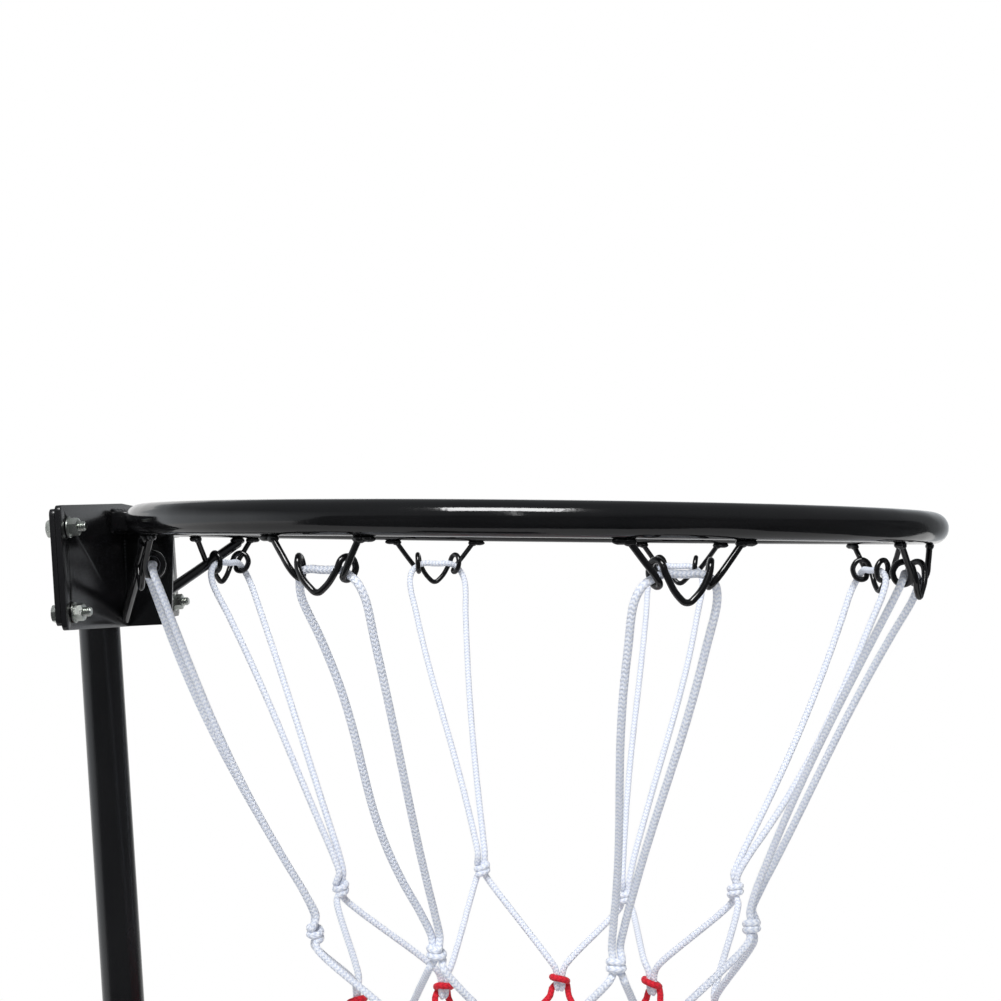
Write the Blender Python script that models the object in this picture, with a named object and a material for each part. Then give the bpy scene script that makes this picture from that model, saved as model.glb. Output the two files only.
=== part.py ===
# Adjustable basketball stand: a ring with net on bolted plates, a telescopic post and a water-filled base.
# The post's axis is Z, the floor is z = 0, and the ring stands out towards -Y. Lengths are in metres.

import math

import bmesh
import bpy
from mathutils import Matrix, Vector

# Fits
TOUCH = 0.0003
SLIDE = 0.0003

# Facets round the tubes, the rods, the fasteners and the ring
TUBE_SIDES = 20
ROD_SIDES = 12
BOLT_SIDES = 8
RING_SEGMENTS = 48
RING_SIDES = 10

# Ring and what carries it
RING_INSIDE = 0.450
RING_TUBE = 0.018
RING_TO_PLATE = 0.013
RING_HEIGHT = 2.150
RING_DROOP = math.radians(4.8)
PLATE_WIDTH = 0.224
PLATE_HEIGHT = 0.074
PLATE_THICK = 0.003
PLATE_RISE = 0.012
PLATE_CORNER = 0.004
STUB_WIDTH = 0.056
STUB_HEIGHT = 0.012
BRACE_ROD = 0.006
BRACE_ANGLE = math.radians(25)
BRACE_FOOT_RISE = 0.003
BRACE_OUT = 0.0075

# Bolts through the plates
BOLT = 0.006
BOLT_FROM_SIDE = 0.014
BOLT_FROM_EDGE = 0.013
HOLE_CLEARANCE = 0.0006
HEX_RATIO = 1.67
HEAD_RATIO = 0.65
NUT_RATIO = 0.8
WASHER_RATIO = 2.0
WASHER_THICK = 0.0012
BOLT_PROUD = 0.008

# Net hooks
HOOKS = 8
HOOK_WIRE = 0.0035
HOOK_SPAN = 0.060
HOOK_TROUGH = 0.0250
HOOK_TOP = 0.0102
HOOK_POINT = 0.0305
HOOK_CURL = 0.0104

# Net, with the radius and the drop below the ring of each row of knots. It hangs to the front of the
# ring's axis by a share of its length below the hooks.
CORD = 0.005
CORD_SIDES = 6
ROW_1 = (0.132, 0.235)
ROW_2 = (0.101, 0.295)
ROW_3 = (0.092, 0.352)
ROW_4 = (0.089, 0.405)
ROW_5 = (0.093, 0.450)
KNOT = 0.0125
NECK = 0.0068
NECK_LENGTH = 0.006
HEAD_TOP = 0.35
LOOP_BOW = 0.004
NET_LEAN = 0.022
NET_LEAN_FROM = 0.040

# Post
LOW_TUBE = 0.038
MID_TUBE = 0.032
TOP_TUBE = 0.025
TUBE_WALL = 0.0015
LOW_LENGTH = 1.050
MID_LENGTH = 1.050
TRAVEL = 0.450
OVERLAP = 0.150
BUSH_PLUG = 0.022
BUSH_LIP = 0.003
CAP_LIP = 0.003
CAP_PLUG = 0.015
POST_TOP_BELOW_PLATE = 0.008

# Clamp collars and knobs
COLLAR_WALL = 0.004
COLLAR_GRIP = 0.045
COLLAR_GUIDE = 0.034
BOSS = 0.022
BOSS_REACH = 0.014
SCREW = 0.008
SCREW_PROUD = 0.008
PAD_THICK = 0.003
KNOB = 0.046
KNOB_THICK = 0.018
KNOB_LOBES = 6
KNOB_SCOOP = 0.010
SCREW_SEAT = 0.010

# Base tank
TANK_WIDTH = 0.520
TANK_FRONT = 0.140
TANK_REAR = 0.600
TANK_HEIGHT = 0.142
TANK_WALL = 0.0035
TANK_CORNER = 0.085
SOCKET_FLOOR = 0.012
SOCKET_WALL = 0.010
SLEEVE_WALL = 0.003
SLEEVE_DEPTH = 0.040
SLEEVE_RISE = 0.030
SLEEVE_FLANGE = 0.024
SLEEVE_FLANGE_THICK = 0.004
GROOVE_COUNT = 3
GROOVE_FIRST = 0.150
GROOVE_PITCH = 0.075
GROOVE_LENGTH = 0.260
GROOVE_WIDTH = 0.026
GROOVE_DEPTH = 0.007
NECK_OUTSIDE = 0.048
NECK_BORE = 0.038
WELL = 0.078
WELL_DEPTH = 0.012
FILLER_Y = 0.500
CAP_WALL = 0.0035
CAP_SKIRT = 0.010
CAP_RIBS = 16
CAP_RIB = 0.001
CAP_BAR = 0.008
SEAL_THICK = 0.002
PAST = 0.002

# Wheels
WHEEL = 0.100
WHEEL_WIDTH = 0.038
WHEEL_OFF_FLOOR = 0.007
WHEEL_ROOM = 0.010
WHEEL_BACK = 0.098
WHEEL_GAP = 0.006
AXLE = 0.010
AXLE_CAP = 0.020
AXLE_CAP_DEPTH = 0.005
AXLE_CAP_DOME = 0.003
ARCH_DEPTH = 0.060

# Struts
STRUT_TUBE = 0.019
STRUT_FLAT = 0.004
STRUT_FLAT_WIDTH = 0.024
STRUT_FOOT_X = 0.160
STRUT_FOOT_Y = 0.430
STRUT_BOLT = 0.008
FOOT_BOLT_DEPTH = 0.040
COLUMN_WALL = 0.006

# Places that follow from the sizes above
RING_RADIUS = (RING_INSIDE + RING_TUBE) / 2
RING_REACH = RING_TO_PLATE + RING_TUBE + RING_INSIDE / 2
REAR_PLATE_FACE = TOP_TUBE / 2 + TOUCH + PLATE_THICK
PLATE_FACE = REAR_PLATE_FACE + TOUCH + PLATE_THICK
PLATE_MIDDLE = PLATE_RISE - PLATE_HEIGHT / 2
LOW_TOP = SOCKET_FLOOR + TOUCH + LOW_LENGTH
MID_BOTTOM = LOW_TOP - OVERLAP - TRAVEL
MID_TOP = MID_BOTTOM + MID_LENGTH
TOP_BOTTOM = MID_TOP - OVERLAP - TRAVEL
TOP_TOP = RING_HEIGHT + PLATE_RISE - POST_TOP_BELOW_PLATE
STRUT_TOP_Z = MID_BOTTOM - BUSH_LIP - TOUCH - STRUT_BOLT / 2
RIVET = 0.005
RIVET_Z = TOP_BOTTOM - BUSH_LIP - TOUCH - RIVET / 2
AXLE_Z = WHEEL / 2 + WHEEL_OFF_FLOOR
AXLE_Y = -WHEEL_BACK
ARCH_INSIDE = TANK_WIDTH / 2 - ARCH_DEPTH
WHEEL_X = ARCH_INSIDE + WHEEL_GAP + WHEEL_WIDTH / 2
HALF_PITCH = math.pi / HOOKS
ODD_SLOTS = range(1, 2 * HOOKS, 2)
EVEN_SLOTS = range(0, 2 * HOOKS, 2)


# Building blocks

def clear_scene():
    for item in list(bpy.data.objects):
        bpy.data.objects.remove(item)


def stored(bm):
    mesh = bpy.data.meshes.new("shape")
    bm.to_mesh(mesh)
    bm.free()
    return mesh


def finished(bm):
    """A mesh of one closed body with its faces pointing out."""
    bmesh.ops.remove_doubles(bm, verts=bm.verts, dist=1e-6)
    bmesh.ops.recalc_face_normals(bm, faces=bm.faces)
    return stored(bm)


def turned(profile, sides=TUBE_SIDES):
    """A profile of (radius, height) points, turned about Z. One that keeps off the axis gives a ring."""
    bm = bmesh.new()
    points = [bm.verts.new((radius, 0, height)) for radius, height in profile]
    edges = [bm.edges.new(pair) for pair in zip(points, points[1:])]
    if min(radius for radius, _ in profile) > 0:
        edges.append(bm.edges.new((points[-1], points[0])))
    bmesh.ops.spin(
        bm, geom=points + edges, cent=(0, 0, 0), axis=(0, 0, 1),
        angle=math.tau, steps=sides, use_merge=True,
    )
    return finished(bm)


def loft(rings):
    """Rings of as many points each, joined in order and closed at both ends."""
    bm = bmesh.new()
    rows = [[bm.verts.new(point) for point in ring] for ring in rings]
    count = len(rows[0])
    for low, high in zip(rows, rows[1:]):
        for i in range(count):
            j = (i + 1) % count
            bm.faces.new((low[i], low[j], high[j], high[i]))
    bm.faces.new(rows[0])
    bm.faces.new(rows[-1])
    return finished(bm)


def prism(outline, bottom, top):
    """An outline of (x, y) points, extruded along Z."""
    return loft([[(x, y, z) for x, y in outline] for z in (bottom, top)])


def rod(diameter, length, sides=ROD_SIDES):
    """A round bar along Z, centred on the origin."""
    radius, half = diameter / 2, length / 2
    return turned([(0, half), (radius, half), (radius, -half), (0, -half)], sides)


def tube(outside, wall, bottom, top, sides=TUBE_SIDES):
    outer, inner = outside / 2, outside / 2 - wall
    return turned([(outer, top), (outer, bottom), (inner, bottom), (inner, top)], sides)


def ring_shape(radius, thickness, around, sides):
    """A round bar bent to a closed ring about Z."""
    section = [(math.tau * i / sides) for i in range(sides)]
    return turned(
        [(radius + thickness / 2 * math.cos(a), thickness / 2 * math.sin(a)) for a in section],
        around,
    )


def moved(mesh, place=(0, 0, 0), turn=0.0, axis="Z"):
    mesh.transform(Matrix.Translation(Vector(place)) @ Matrix.Rotation(turn, 4, axis))
    return mesh


def wire(points, diameter, sides=CORD_SIDES, end_swell=1.0):
    """A round wire or cord along the points, with filled ends that may be thicker."""
    curve = bpy.data.curves.new("wire", "CURVE")
    curve.dimensions = "3D"
    curve.bevel_depth = diameter / 2
    curve.bevel_resolution = (sides - 4) // 2
    curve.use_fill_caps = True
    spline = curve.splines.new("POLY")
    spline.points.add(len(points) - 1)
    for target, point in zip(spline.points, points):
        target.co = (*point, 1)
    spline.points[0].radius = spline.points[-1].radius = end_swell
    carrier = bpy.data.objects.new("wire", curve)
    bpy.context.scene.collection.objects.link(carrier)
    bpy.context.view_layer.update()
    graph = bpy.context.evaluated_depsgraph_get()
    bm = bmesh.new()
    bm.from_mesh(bpy.data.meshes.new_from_object(carrier.evaluated_get(graph)))
    bpy.data.objects.remove(carrier)
    bpy.data.curves.remove(curve)
    return finished(bm)


def together(meshes):
    """Several meshes in one, still as separate bodies."""
    bm = bmesh.new()
    for mesh in meshes:
        bm.from_mesh(mesh)
    return stored(bm)


def worked(mesh, tool, operation):
    """A mesh after one Boolean with a tool mesh. The tool may be several bodies that overlap."""
    pair = [bpy.data.objects.new("work", mesh), bpy.data.objects.new("tool", tool)]
    for item in pair:
        bpy.context.scene.collection.objects.link(item)
    boolean = pair[0].modifiers.new("Boolean", "BOOLEAN")
    boolean.operation = operation
    boolean.object = pair[1]
    boolean.solver = "EXACT"
    boolean.use_self = True
    bpy.context.view_layer.update()
    graph = bpy.context.evaluated_depsgraph_get()
    result = bpy.data.meshes.new_from_object(pair[0].evaluated_get(graph))
    for item in pair:
        bpy.data.objects.remove(item)
    return result


def cut(mesh, *tools):
    return worked(mesh, together(tools), "DIFFERENCE")


def fused(*meshes):
    return worked(meshes[0], together(meshes[1:]), "UNION")


def material(name, colour, roughness, metallic=0.0):
    made = bpy.data.materials.new(name)
    made.use_nodes = True
    shader = made.node_tree.nodes["Principled BSDF"]
    shader.inputs["Base Color"].default_value = (*colour, 1)
    shader.inputs["Roughness"].default_value = roughness
    shader.inputs["Metallic"].default_value = metallic
    return made


def node(name, mesh, finish, parent=None, place=(0, 0, 0), turn=(0, 0, 0)):
    """One named piece, with its own material of the given finish."""
    mesh = mesh.copy()
    mesh.name = name
    mesh.materials.clear()
    mesh.materials.append(material(name, *finish))
    mesh.shade_smooth()
    mesh.set_sharp_from_angle(angle=math.radians(35))
    piece = bpy.data.objects.new(name, mesh)
    bpy.context.scene.collection.objects.link(piece)
    piece.parent = parent
    piece.location = place
    piece.rotation_euler = turn
    return piece


def empty(name, parent=None, place=(0, 0, 0), turn=(0, 0, 0)):
    guide = bpy.data.objects.new(name, None)
    bpy.context.scene.collection.objects.link(guide)
    guide.parent = parent
    guide.location = place
    guide.rotation_euler = turn
    return guide


# Finishes: colour, roughness, metallic
GLOSS_BLACK = ((0.010, 0.010, 0.011), 0.16)
SATIN_BLACK = ((0.014, 0.014, 0.015), 0.34)
ZINC = ((0.72, 0.73, 0.74), 0.30, 1.0)
WHITE_CORD = ((0.82, 0.83, 0.86), 0.80)
RED_CORD = ((0.62, 0.02, 0.04), 0.80)
BLUE_CORD = ((0.03, 0.07, 0.42), 0.80)
BLACK_PLASTIC = ((0.022, 0.022, 0.024), 0.55)
GREY_PLASTIC = ((0.10, 0.10, 0.11), 0.60)
WATER = ((0.35, 0.48, 0.52), 0.10)
RUBBER = ((0.03, 0.03, 0.03), 0.80)


# Outlines

def rounded_rectangle(half_x, half_y, corner, steps=4):
    points = []
    for quarter, (sx, sy) in enumerate(((1, 1), (-1, 1), (-1, -1), (1, -1))):
        for step in range(steps + 1):
            angle = math.pi / 2 * (quarter + step / steps)
            points.append((
                sx * (half_x - corner) + corner * math.cos(angle),
                sy * (half_y - corner) + corner * math.sin(angle),
            ))
    return points


def hexagon(across_flats):
    radius = across_flats / math.sqrt(3)
    return [
        (radius * math.cos(math.pi / 3 * i), radius * math.sin(math.pi / 3 * i)) for i in range(6)
    ]


# Fasteners, along Z with the seat at z = 0

def hex_bolt(diameter, length):
    """Head above the seat with its washer, shank below."""
    washer = moved(rod(diameter * WASHER_RATIO, WASHER_THICK), (0, 0, WASHER_THICK / 2))
    shank = moved(rod(diameter, length + WASHER_THICK / 2, BOLT_SIDES),
                  (0, 0, WASHER_THICK / 4 - length / 2))
    head = prism(hexagon(diameter * HEX_RATIO), WASHER_THICK / 2,
                 WASHER_THICK + diameter * HEAD_RATIO)
    return fused(washer, head, shank)


def hex_nut(diameter):
    """Nut above the seat with its washer, bored for the shank."""
    washer = moved(rod(diameter * WASHER_RATIO, WASHER_THICK), (0, 0, WASHER_THICK / 2))
    nut = prism(hexagon(diameter * HEX_RATIO), WASHER_THICK / 2,
                WASHER_THICK + diameter * NUT_RATIO)
    bore = rod(diameter + 2 * TOUCH, diameter * 4, BOLT_SIDES)
    return cut(fused(washer, nut), bore)


# Ring, plates, hooks and net

def plate_bolt_places():
    side = PLATE_WIDTH / 2 - BOLT_FROM_SIDE
    upper = PLATE_RISE - BOLT_FROM_EDGE
    lower = PLATE_RISE - PLATE_HEIGHT + BOLT_FROM_EDGE
    return [(x, z) for z in (upper, lower) for x in (-side, side)]


def plate():
    """A plate in the XZ plane of the bolts, its front face at y = 0 and its back at +Y."""
    outline = rounded_rectangle(PLATE_WIDTH / 2, PLATE_HEIGHT / 2, PLATE_CORNER, 2)
    shape = prism(outline, -PLATE_THICK, 0)
    moved(shape, (0, 0, PLATE_MIDDLE), math.pi / 2, "X")
    holes = [
        moved(rod(BOLT + HOLE_CLEARANCE, 4 * PLATE_THICK, BOLT_SIDES),
              (x, PLATE_THICK / 2, z), math.pi / 2, "X")
        for x, z in plate_bolt_places()
    ]
    return cut(shape, *holes)


def stub():
    """The tongue that bridges the ring and the plate, hollowed to seat on the ring.

    The seat's cut leaves a sliver inside the ring, which is dropped."""
    outline = rounded_rectangle(STUB_WIDTH / 2, RING_TO_PLATE, 0.002, 2)
    block = prism(outline, -STUB_HEIGHT / 2, STUB_HEIGHT / 2)
    behind = prism(rounded_rectangle(STUB_WIDTH, RING_TO_PLATE, 0.001, 1),
                   -STUB_HEIGHT, STUB_HEIGHT)
    moved(behind, (0, RING_TO_PLATE - TOUCH, 0))
    moved(behind, turn=-RING_DROOP, axis="X")
    seat = ring_shape(RING_RADIUS, RING_TUBE + 2 * TOUCH, RING_SEGMENTS, RING_SIDES)
    moved(seat, (0, -RING_REACH, 0))
    bm = bmesh.new()
    bm.from_mesh(cut(block, behind, seat))
    far = [v for v in bm.verts if v.co.y < -RING_TO_PLATE - RING_TUBE / 2]
    bmesh.ops.delete(bm, geom=far, context="VERTS")
    return finished(bm)


def brace(side):
    """A rod from the front plate's lower edge to the outer underside of the ring."""
    clear = BRACE_ROD / 2 + TOUCH
    low = PLATE_RISE - PLATE_HEIGHT + BRACE_FOOT_RISE + BRACE_ROD / 2
    foot = Vector((side * (clear + TOUCH), low * math.tan(RING_DROOP) - clear - TOUCH, low))
    reach = RING_RADIUS + BRACE_OUT
    sink = math.sqrt((RING_TUBE / 2 + clear) ** 2 - BRACE_OUT ** 2) + TOUCH
    head = Vector((
        side * reach * math.sin(BRACE_ANGLE), reach * math.cos(BRACE_ANGLE) - RING_REACH, -sink))
    return wire([foot, foot.lerp(head, 0.5), head], BRACE_ROD, 8)


def hook():
    """One net hook about the tube's centre, x along the ring and y out from it.

    From its weld the wire runs down, passes under the cord, rises inside it, folds over it and ends in
    the middle point, which both halves share."""
    half = HOOK_SPAN / 2
    weld_in = RING_RADIUS - math.sqrt(RING_RADIUS ** 2 - half ** 2)
    start = HOOK_WIRE / 2 * 1.5 + 2 * TOUCH
    path = [
        (half, start, weld_in),
        (half * 0.50, HOOK_TROUGH * 0.84, 0.0005),
        (half * 0.44, HOOK_TROUGH * 0.98, HOOK_CURL * 0.30),
        (half * 0.47, HOOK_TROUGH * 0.97, HOOK_CURL * 0.75),
        (half * 0.51, HOOK_TROUGH * 0.78, HOOK_CURL),
        (half * 0.51, HOOK_TOP * 1.35, HOOK_CURL * 0.94),
        (half * 0.49, HOOK_TOP, HOOK_CURL * 0.62),
        (half * 0.43, HOOK_TOP * 1.10, HOOK_CURL * 0.18),
        (half * 0.38, HOOK_TOP * 1.55, 0),
        (half * 0.12, HOOK_POINT * 0.935, 0),
        (0, HOOK_POINT, 0),
    ]
    both = path + [(-along, down, inward) for along, down, inward in path[-2::-1]]
    points = [(along, -inward, -RING_TUBE / 2 - down) for along, down, inward in both]
    return wire(points, HOOK_WIRE, end_swell=1.5)


def on_net(angle, along, radius, drop):
    """A point of the net: at an angle round the ring's axis, with an offset along the ring."""
    lean = NET_LEAN * max(0.0, drop - NET_LEAN_FROM)
    return Vector((
        along * math.cos(angle) - radius * math.sin(angle),
        along * math.sin(angle) + radius * math.cos(angle) - lean,
        -drop,
    ))


def on_row(slot, row, lower=0.0):
    """A knot's place in a row. Odd slots hang under the hooks, even ones between them."""
    return on_net(slot * HALF_PITCH, 0, row[0], row[1] + lower)


def cord_sides(bm, path, diameter=CORD):
    """The side faces of a cord, open at both ends. Gives its first and its last ring of points."""
    rings = []
    across = Vector((0.3, 0.2, 1))
    for i, point in enumerate(path):
        along = (path[min(i + 1, len(path) - 1)] - path[max(i - 1, 0)]).normalized()
        across = (across - along * across.dot(along)).normalized()
        beside = along.cross(across)
        ring = []
        for k in range(CORD_SIDES):
            turn = math.tau * k / CORD_SIDES
            offset = across * math.cos(turn) + beside * math.sin(turn)
            ring.append(bm.verts.new(point + offset * diameter / 2))
        if rings:
            for k in range(CORD_SIDES):
                j = (k + 1) % CORD_SIDES
                bm.faces.new((rings[-1][k], rings[-1][j], ring[j], ring[k]))
        rings.append(ring)
    return rings[0], rings[-1]


def tied(bm, rings, more=()):
    """A knot: the tightest skin round the cord ends that meet in it, open where each cord goes on."""
    points = [point for ring in rings for point in ring] + list(more)
    made = bmesh.ops.convex_hull(bm, input=points, use_existing_faces=False)
    faces = [item for item in made["geom"] if isinstance(item, bmesh.types.BMFace)]
    ends = [set(ring) for ring in rings]
    covers = [face for face in faces if any(set(face.verts) <= end for end in ends)]
    bmesh.ops.delete(bm, geom=covers, context="FACES_ONLY")


def swell(bm, centre, heights=((0.0, 0.5),)):
    """Points round a knot that make it thicker than its cords, as (height, radius) in knot sizes."""
    points = []
    for height, radius in heights:
        for k in range(CORD_SIDES):
            turn = math.tau * (k + 0.5) / CORD_SIDES
            offset = Vector((radius * math.cos(turn), radius * math.sin(turn), height))
            points.append(bm.verts.new(centre + offset * KNOT))
    return points


def towards(centre, other, reach=KNOT / 2):
    return centre + (other - centre).normalized() * reach


def net_loop(bm, slot):
    """One top loop: across the two curls of its hook, and down both sides to its first knot."""
    half = HOOK_SPAN / 2
    under = RING_TUBE / 2
    side = [
        (half * 0.27, RING_RADIUS - 0.0060, under + 0.0163),
        (half * 0.46, RING_RADIUS - 0.0050, under + 0.0182),
        (half * 0.60, RING_RADIUS - 0.0054, under + 0.0222),
        (half * 0.69, RING_RADIUS - 0.0085, under + 0.0300),
    ]
    top = Vector(side[-1])
    end = Vector((CORD * 0.62, ROW_1[0], ROW_1[1] - KNOT * 0.4))
    for share in (0.35, 0.7):
        along, radius, drop = top.lerp(end, share)
        bow = LOOP_BOW * math.sin(math.pi * share)
        side.append((along + bow, radius + bow, drop))
    side.append(tuple(end))
    whole = [(-along, radius, drop) for along, radius, drop in side[::-1]] + side
    return cord_sides(bm, [on_net(slot * HALF_PITCH, *point) for point in whole])


def diamonds(bm, slots, start, end, ends_at):
    """From each knot of a row, two cords to the knots half a pitch to either side in the next."""
    for slot in slots:
        for side in (-1, 1):
            target = (slot + side) % (2 * HOOKS)
            a, b = on_row(slot, start), on_row(target, end)
            first, last = cord_sides(bm, [towards(a, b), towards(b, a)])
            ends_at.setdefault((start, slot), []).append(first)
            ends_at.setdefault((end, target), []).append(last)


def necks(bm, slots, row, ends_at):
    """Where two cords meet and fold together, down to the knot of the next colour."""
    for slot in slots:
        stem = [on_row(slot, row, KNOT * 0.3), on_row(slot, row, KNOT * 0.3 + NECK_LENGTH)]
        top, bottom = cord_sides(bm, stem, NECK)
        bm.faces.new(bottom)
        tied(bm, ends_at[(row, slot)] + [top])


def heads(row):
    """The row of a colour's first knots, just under the necks of the colour above."""
    return row[0], row[1] + KNOT * (0.3 + HEAD_TOP) + NECK_LENGTH + TOUCH


def white_net():
    bm = bmesh.new()
    ends_at = {}
    for slot in ODD_SLOTS:
        ends_at[(ROW_1, slot)] = list(net_loop(bm, slot))
    diamonds(bm, ODD_SLOTS, ROW_1, ROW_2, ends_at)
    for slot in ODD_SLOTS:
        tied(bm, ends_at[(ROW_1, slot)], swell(bm, on_row(slot, ROW_1)))
    necks(bm, EVEN_SLOTS, ROW_2, ends_at)
    return finished(bm)


def red_net():
    bm = bmesh.new()
    ends_at = {}
    first = heads(ROW_2)
    diamonds(bm, EVEN_SLOTS, first, ROW_3, ends_at)
    diamonds(bm, ODD_SLOTS, ROW_3, ROW_4, ends_at)
    for slot in EVEN_SLOTS:
        crown = swell(bm, on_row(slot, first), ((HEAD_TOP, 0.3), (0, 0.5)))
        tied(bm, ends_at[(first, slot)], crown)
    for slot in ODD_SLOTS:
        tied(bm, ends_at[(ROW_3, slot)], swell(bm, on_row(slot, ROW_3)))
    necks(bm, EVEN_SLOTS, ROW_4, ends_at)
    return finished(bm)


def blue_net():
    bm = bmesh.new()
    ends_at = {}
    first = heads(ROW_4)
    diamonds(bm, EVEN_SLOTS, first, ROW_5, ends_at)
    for slot in EVEN_SLOTS:
        crown = swell(bm, on_row(slot, first), ((HEAD_TOP, 0.3), (0, 0.5)))
        tied(bm, ends_at[(first, slot)], crown)
    for slot in ODD_SLOTS:
        tail = swell(bm, on_row(slot, ROW_5), ((0, 0.5), (-0.7, 0.25)))
        tied(bm, ends_at[(ROW_5, slot)], tail)
    return finished(bm)


def make_hoop(post):
    """Everything that the top tube carries. The hoop frame sits on the front plate and drops to the front."""
    at_plate = (0, -PLATE_FACE, RING_HEIGHT)
    hoop = empty("hoop_frame", post, at_plate, (RING_DROOP, 0, 0))
    centre = (0, -RING_REACH, 0)
    ring = ring_shape(RING_RADIUS, RING_TUBE, RING_SEGMENTS, RING_SIDES)
    node("rim_ring", ring, GLOSS_BLACK, hoop, centre)
    node("rim_stub", stub(), GLOSS_BLACK, hoop)
    node("brace_rod_left", brace(-1), GLOSS_BLACK, hoop)
    node("brace_rod_right", brace(1), GLOSS_BLACK, hoop)
    hook_mesh = hook()
    for i, slot in enumerate(ODD_SLOTS):
        angle = slot * HALF_PITCH
        place = Vector(centre) + on_net(angle, 0, RING_RADIUS, 0)
        node(f"net_hook_{i + 1}", hook_mesh, GLOSS_BLACK, hoop, place, (0, 0, angle))
    node("net_white", white_net(), WHITE_CORD, hoop, centre)
    node("net_red", red_net(), RED_CORD, hoop, centre)
    node("net_blue", blue_net(), BLUE_CORD, hoop, centre)

    flat = plate()
    node("rim_plate", flat, SATIN_BLACK, post, at_plate)
    node("post_plate", flat, SATIN_BLACK, post, (0, -REAR_PLATE_FACE, RING_HEIGHT))
    bolt_length = 2 * PLATE_THICK + 4 * TOUCH + BOLT + WASHER_THICK + BOLT_PROUD
    bolt = moved(hex_bolt(BOLT, bolt_length), turn=-math.pi / 2, axis="X")
    nut = moved(hex_nut(BOLT), turn=math.pi / 2, axis="X")
    for i, (x, z) in enumerate(plate_bolt_places()):
        behind = -REAR_PLATE_FACE + PLATE_THICK + TOUCH
        node(f"plate_bolt_{i + 1}", bolt, ZINC, post, (x, behind, RING_HEIGHT + z))
        node(f"plate_nut_{i + 1}", nut, ZINC, post, (x, -PLATE_FACE - TOUCH, RING_HEIGHT + z))


# Post

def foot_bush(outside, inside_tube, wall):
    """Plug and lip at an inner tube's lower end, seated on the tube's end at z = 0."""
    plug = inside_tube / 2 - wall - TOUCH
    bore = plug - 0.003
    lip = outside / 2
    return turned([
        (plug, BUSH_PLUG), (plug, -TOUCH), (lip, -TOUCH), (lip, -BUSH_LIP), (bore, -BUSH_LIP),
        (bore, BUSH_PLUG)])


def end_cap():
    plug = TOP_TUBE / 2 - TUBE_WALL - TOUCH
    return turned([
        (0, CAP_LIP), (TOP_TUBE * 0.38, CAP_LIP), (TOP_TUBE / 2, CAP_LIP * 0.4), (TOP_TUBE / 2, TOUCH),
        (plug, TOUCH), (plug, -CAP_PLUG), (0, -CAP_PLUG)])


def clamp_collar(outer_tube, inner_tube):
    """Sleeve over the outer tube's end, which is at z = 0, guiding the inner tube above it."""
    sleeve = outer_tube / 2 + TOUCH
    guide = inner_tube / 2 + SLIDE
    outside = sleeve + COLLAR_WALL
    body = turned([
        (guide, COLLAR_GUIDE), (guide + COLLAR_WALL, COLLAR_GUIDE), (outside, COLLAR_GUIDE * 0.72),
        (outside, -COLLAR_GRIP + 0.004), (outside + 0.0015, -COLLAR_GRIP + 0.002),
        (outside + 0.0015, -COLLAR_GRIP), (sleeve, -COLLAR_GRIP), (sleeve, TOUCH), (guide, TOUCH)])
    boss_length = outside + BOSS_REACH
    boss = moved(rod(BOSS, boss_length), (0, boss_length / 2, COLLAR_GUIDE / 2),
                 math.pi / 2, "X")
    way = moved(rod(SCREW + 2 * SLIDE, 2 * boss_length),
                (0, boss_length, COLLAR_GUIDE / 2), math.pi / 2, "X")
    through = rod(2 * guide, 4 * COLLAR_GUIDE, TUBE_SIDES)
    solid_boss = cut(boss, through)
    return cut(fused(body, solid_boss), way)


def knob_grip():
    """Lobed hand knob on Z, its inner face at z = 0."""
    steps = 4 * KNOB_LOBES
    outline = []
    for i in range(steps):
        angle = math.tau * i / steps
        radius = KNOB / 2 - KNOB_SCOOP / 4 * (1 - math.cos(KNOB_LOBES * angle))
        outline.append((radius * math.cos(angle), radius * math.sin(angle)))
    rings = []
    for height, share in ((0, 0.86), (0.15, 1.0), (0.75, 1.0), (0.93, 0.93), (1.0, 0.78)):
        rings.append([(x * share, y * share, KNOB_THICK * height) for x, y in outline])
    hub = turned([(0, 0.004), (BOSS * 0.36, 0.004), (BOSS * 0.36, -0.003), (0, -0.003)], ROD_SIDES)
    bore = moved(rod(SCREW + 2 * TOUCH, KNOB_THICK), (0, 0, SCREW_SEAT - KNOB_THICK / 2))
    return cut(fused(loft(rings), hub), bore)


def make_clamp(label, body, knob_body, tube_top, outer_tube, inner_tube):
    """Collar, pad, screw and knob for one height clamp. The screw lies along +Y."""
    height = tube_top + COLLAR_GUIDE / 2
    node(f"clamp_collar_{label}", clamp_collar(outer_tube, inner_tube), BLACK_PLASTIC,
         body, (0, 0, tube_top))
    pad_face = inner_tube / 2 + TOUCH
    axis = empty(f"knob_axis_{label}", knob_body, (0, pad_face, height), (-math.pi / 2, 0, 0))
    pad = moved(rod(SCREW, PAD_THICK), (0, 0, PAD_THICK / 2))
    node(f"clamp_pad_{label}", pad, GREY_PLASTIC, axis)
    boss_end = outer_tube / 2 + TOUCH + COLLAR_WALL + BOSS_REACH
    knob_face = boss_end + SCREW_PROUD - pad_face
    screw_end = knob_face + SCREW_SEAT - TOUCH
    screw_start = PAD_THICK + TOUCH
    screw = moved(rod(SCREW, screw_end - screw_start), (0, 0, (screw_end + screw_start) / 2))
    node(f"clamp_screw_{label}", screw, ZINC, axis)
    node(f"clamp_knob_{label}", knob_grip(), BLACK_PLASTIC, axis, (0, 0, knob_face))


def cross_hole(mesh, diameter, z, length):
    return cut(mesh, moved(rod(diameter + 2 * TOUCH, length), (0, 0, z), math.pi / 2, "Y"))


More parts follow.
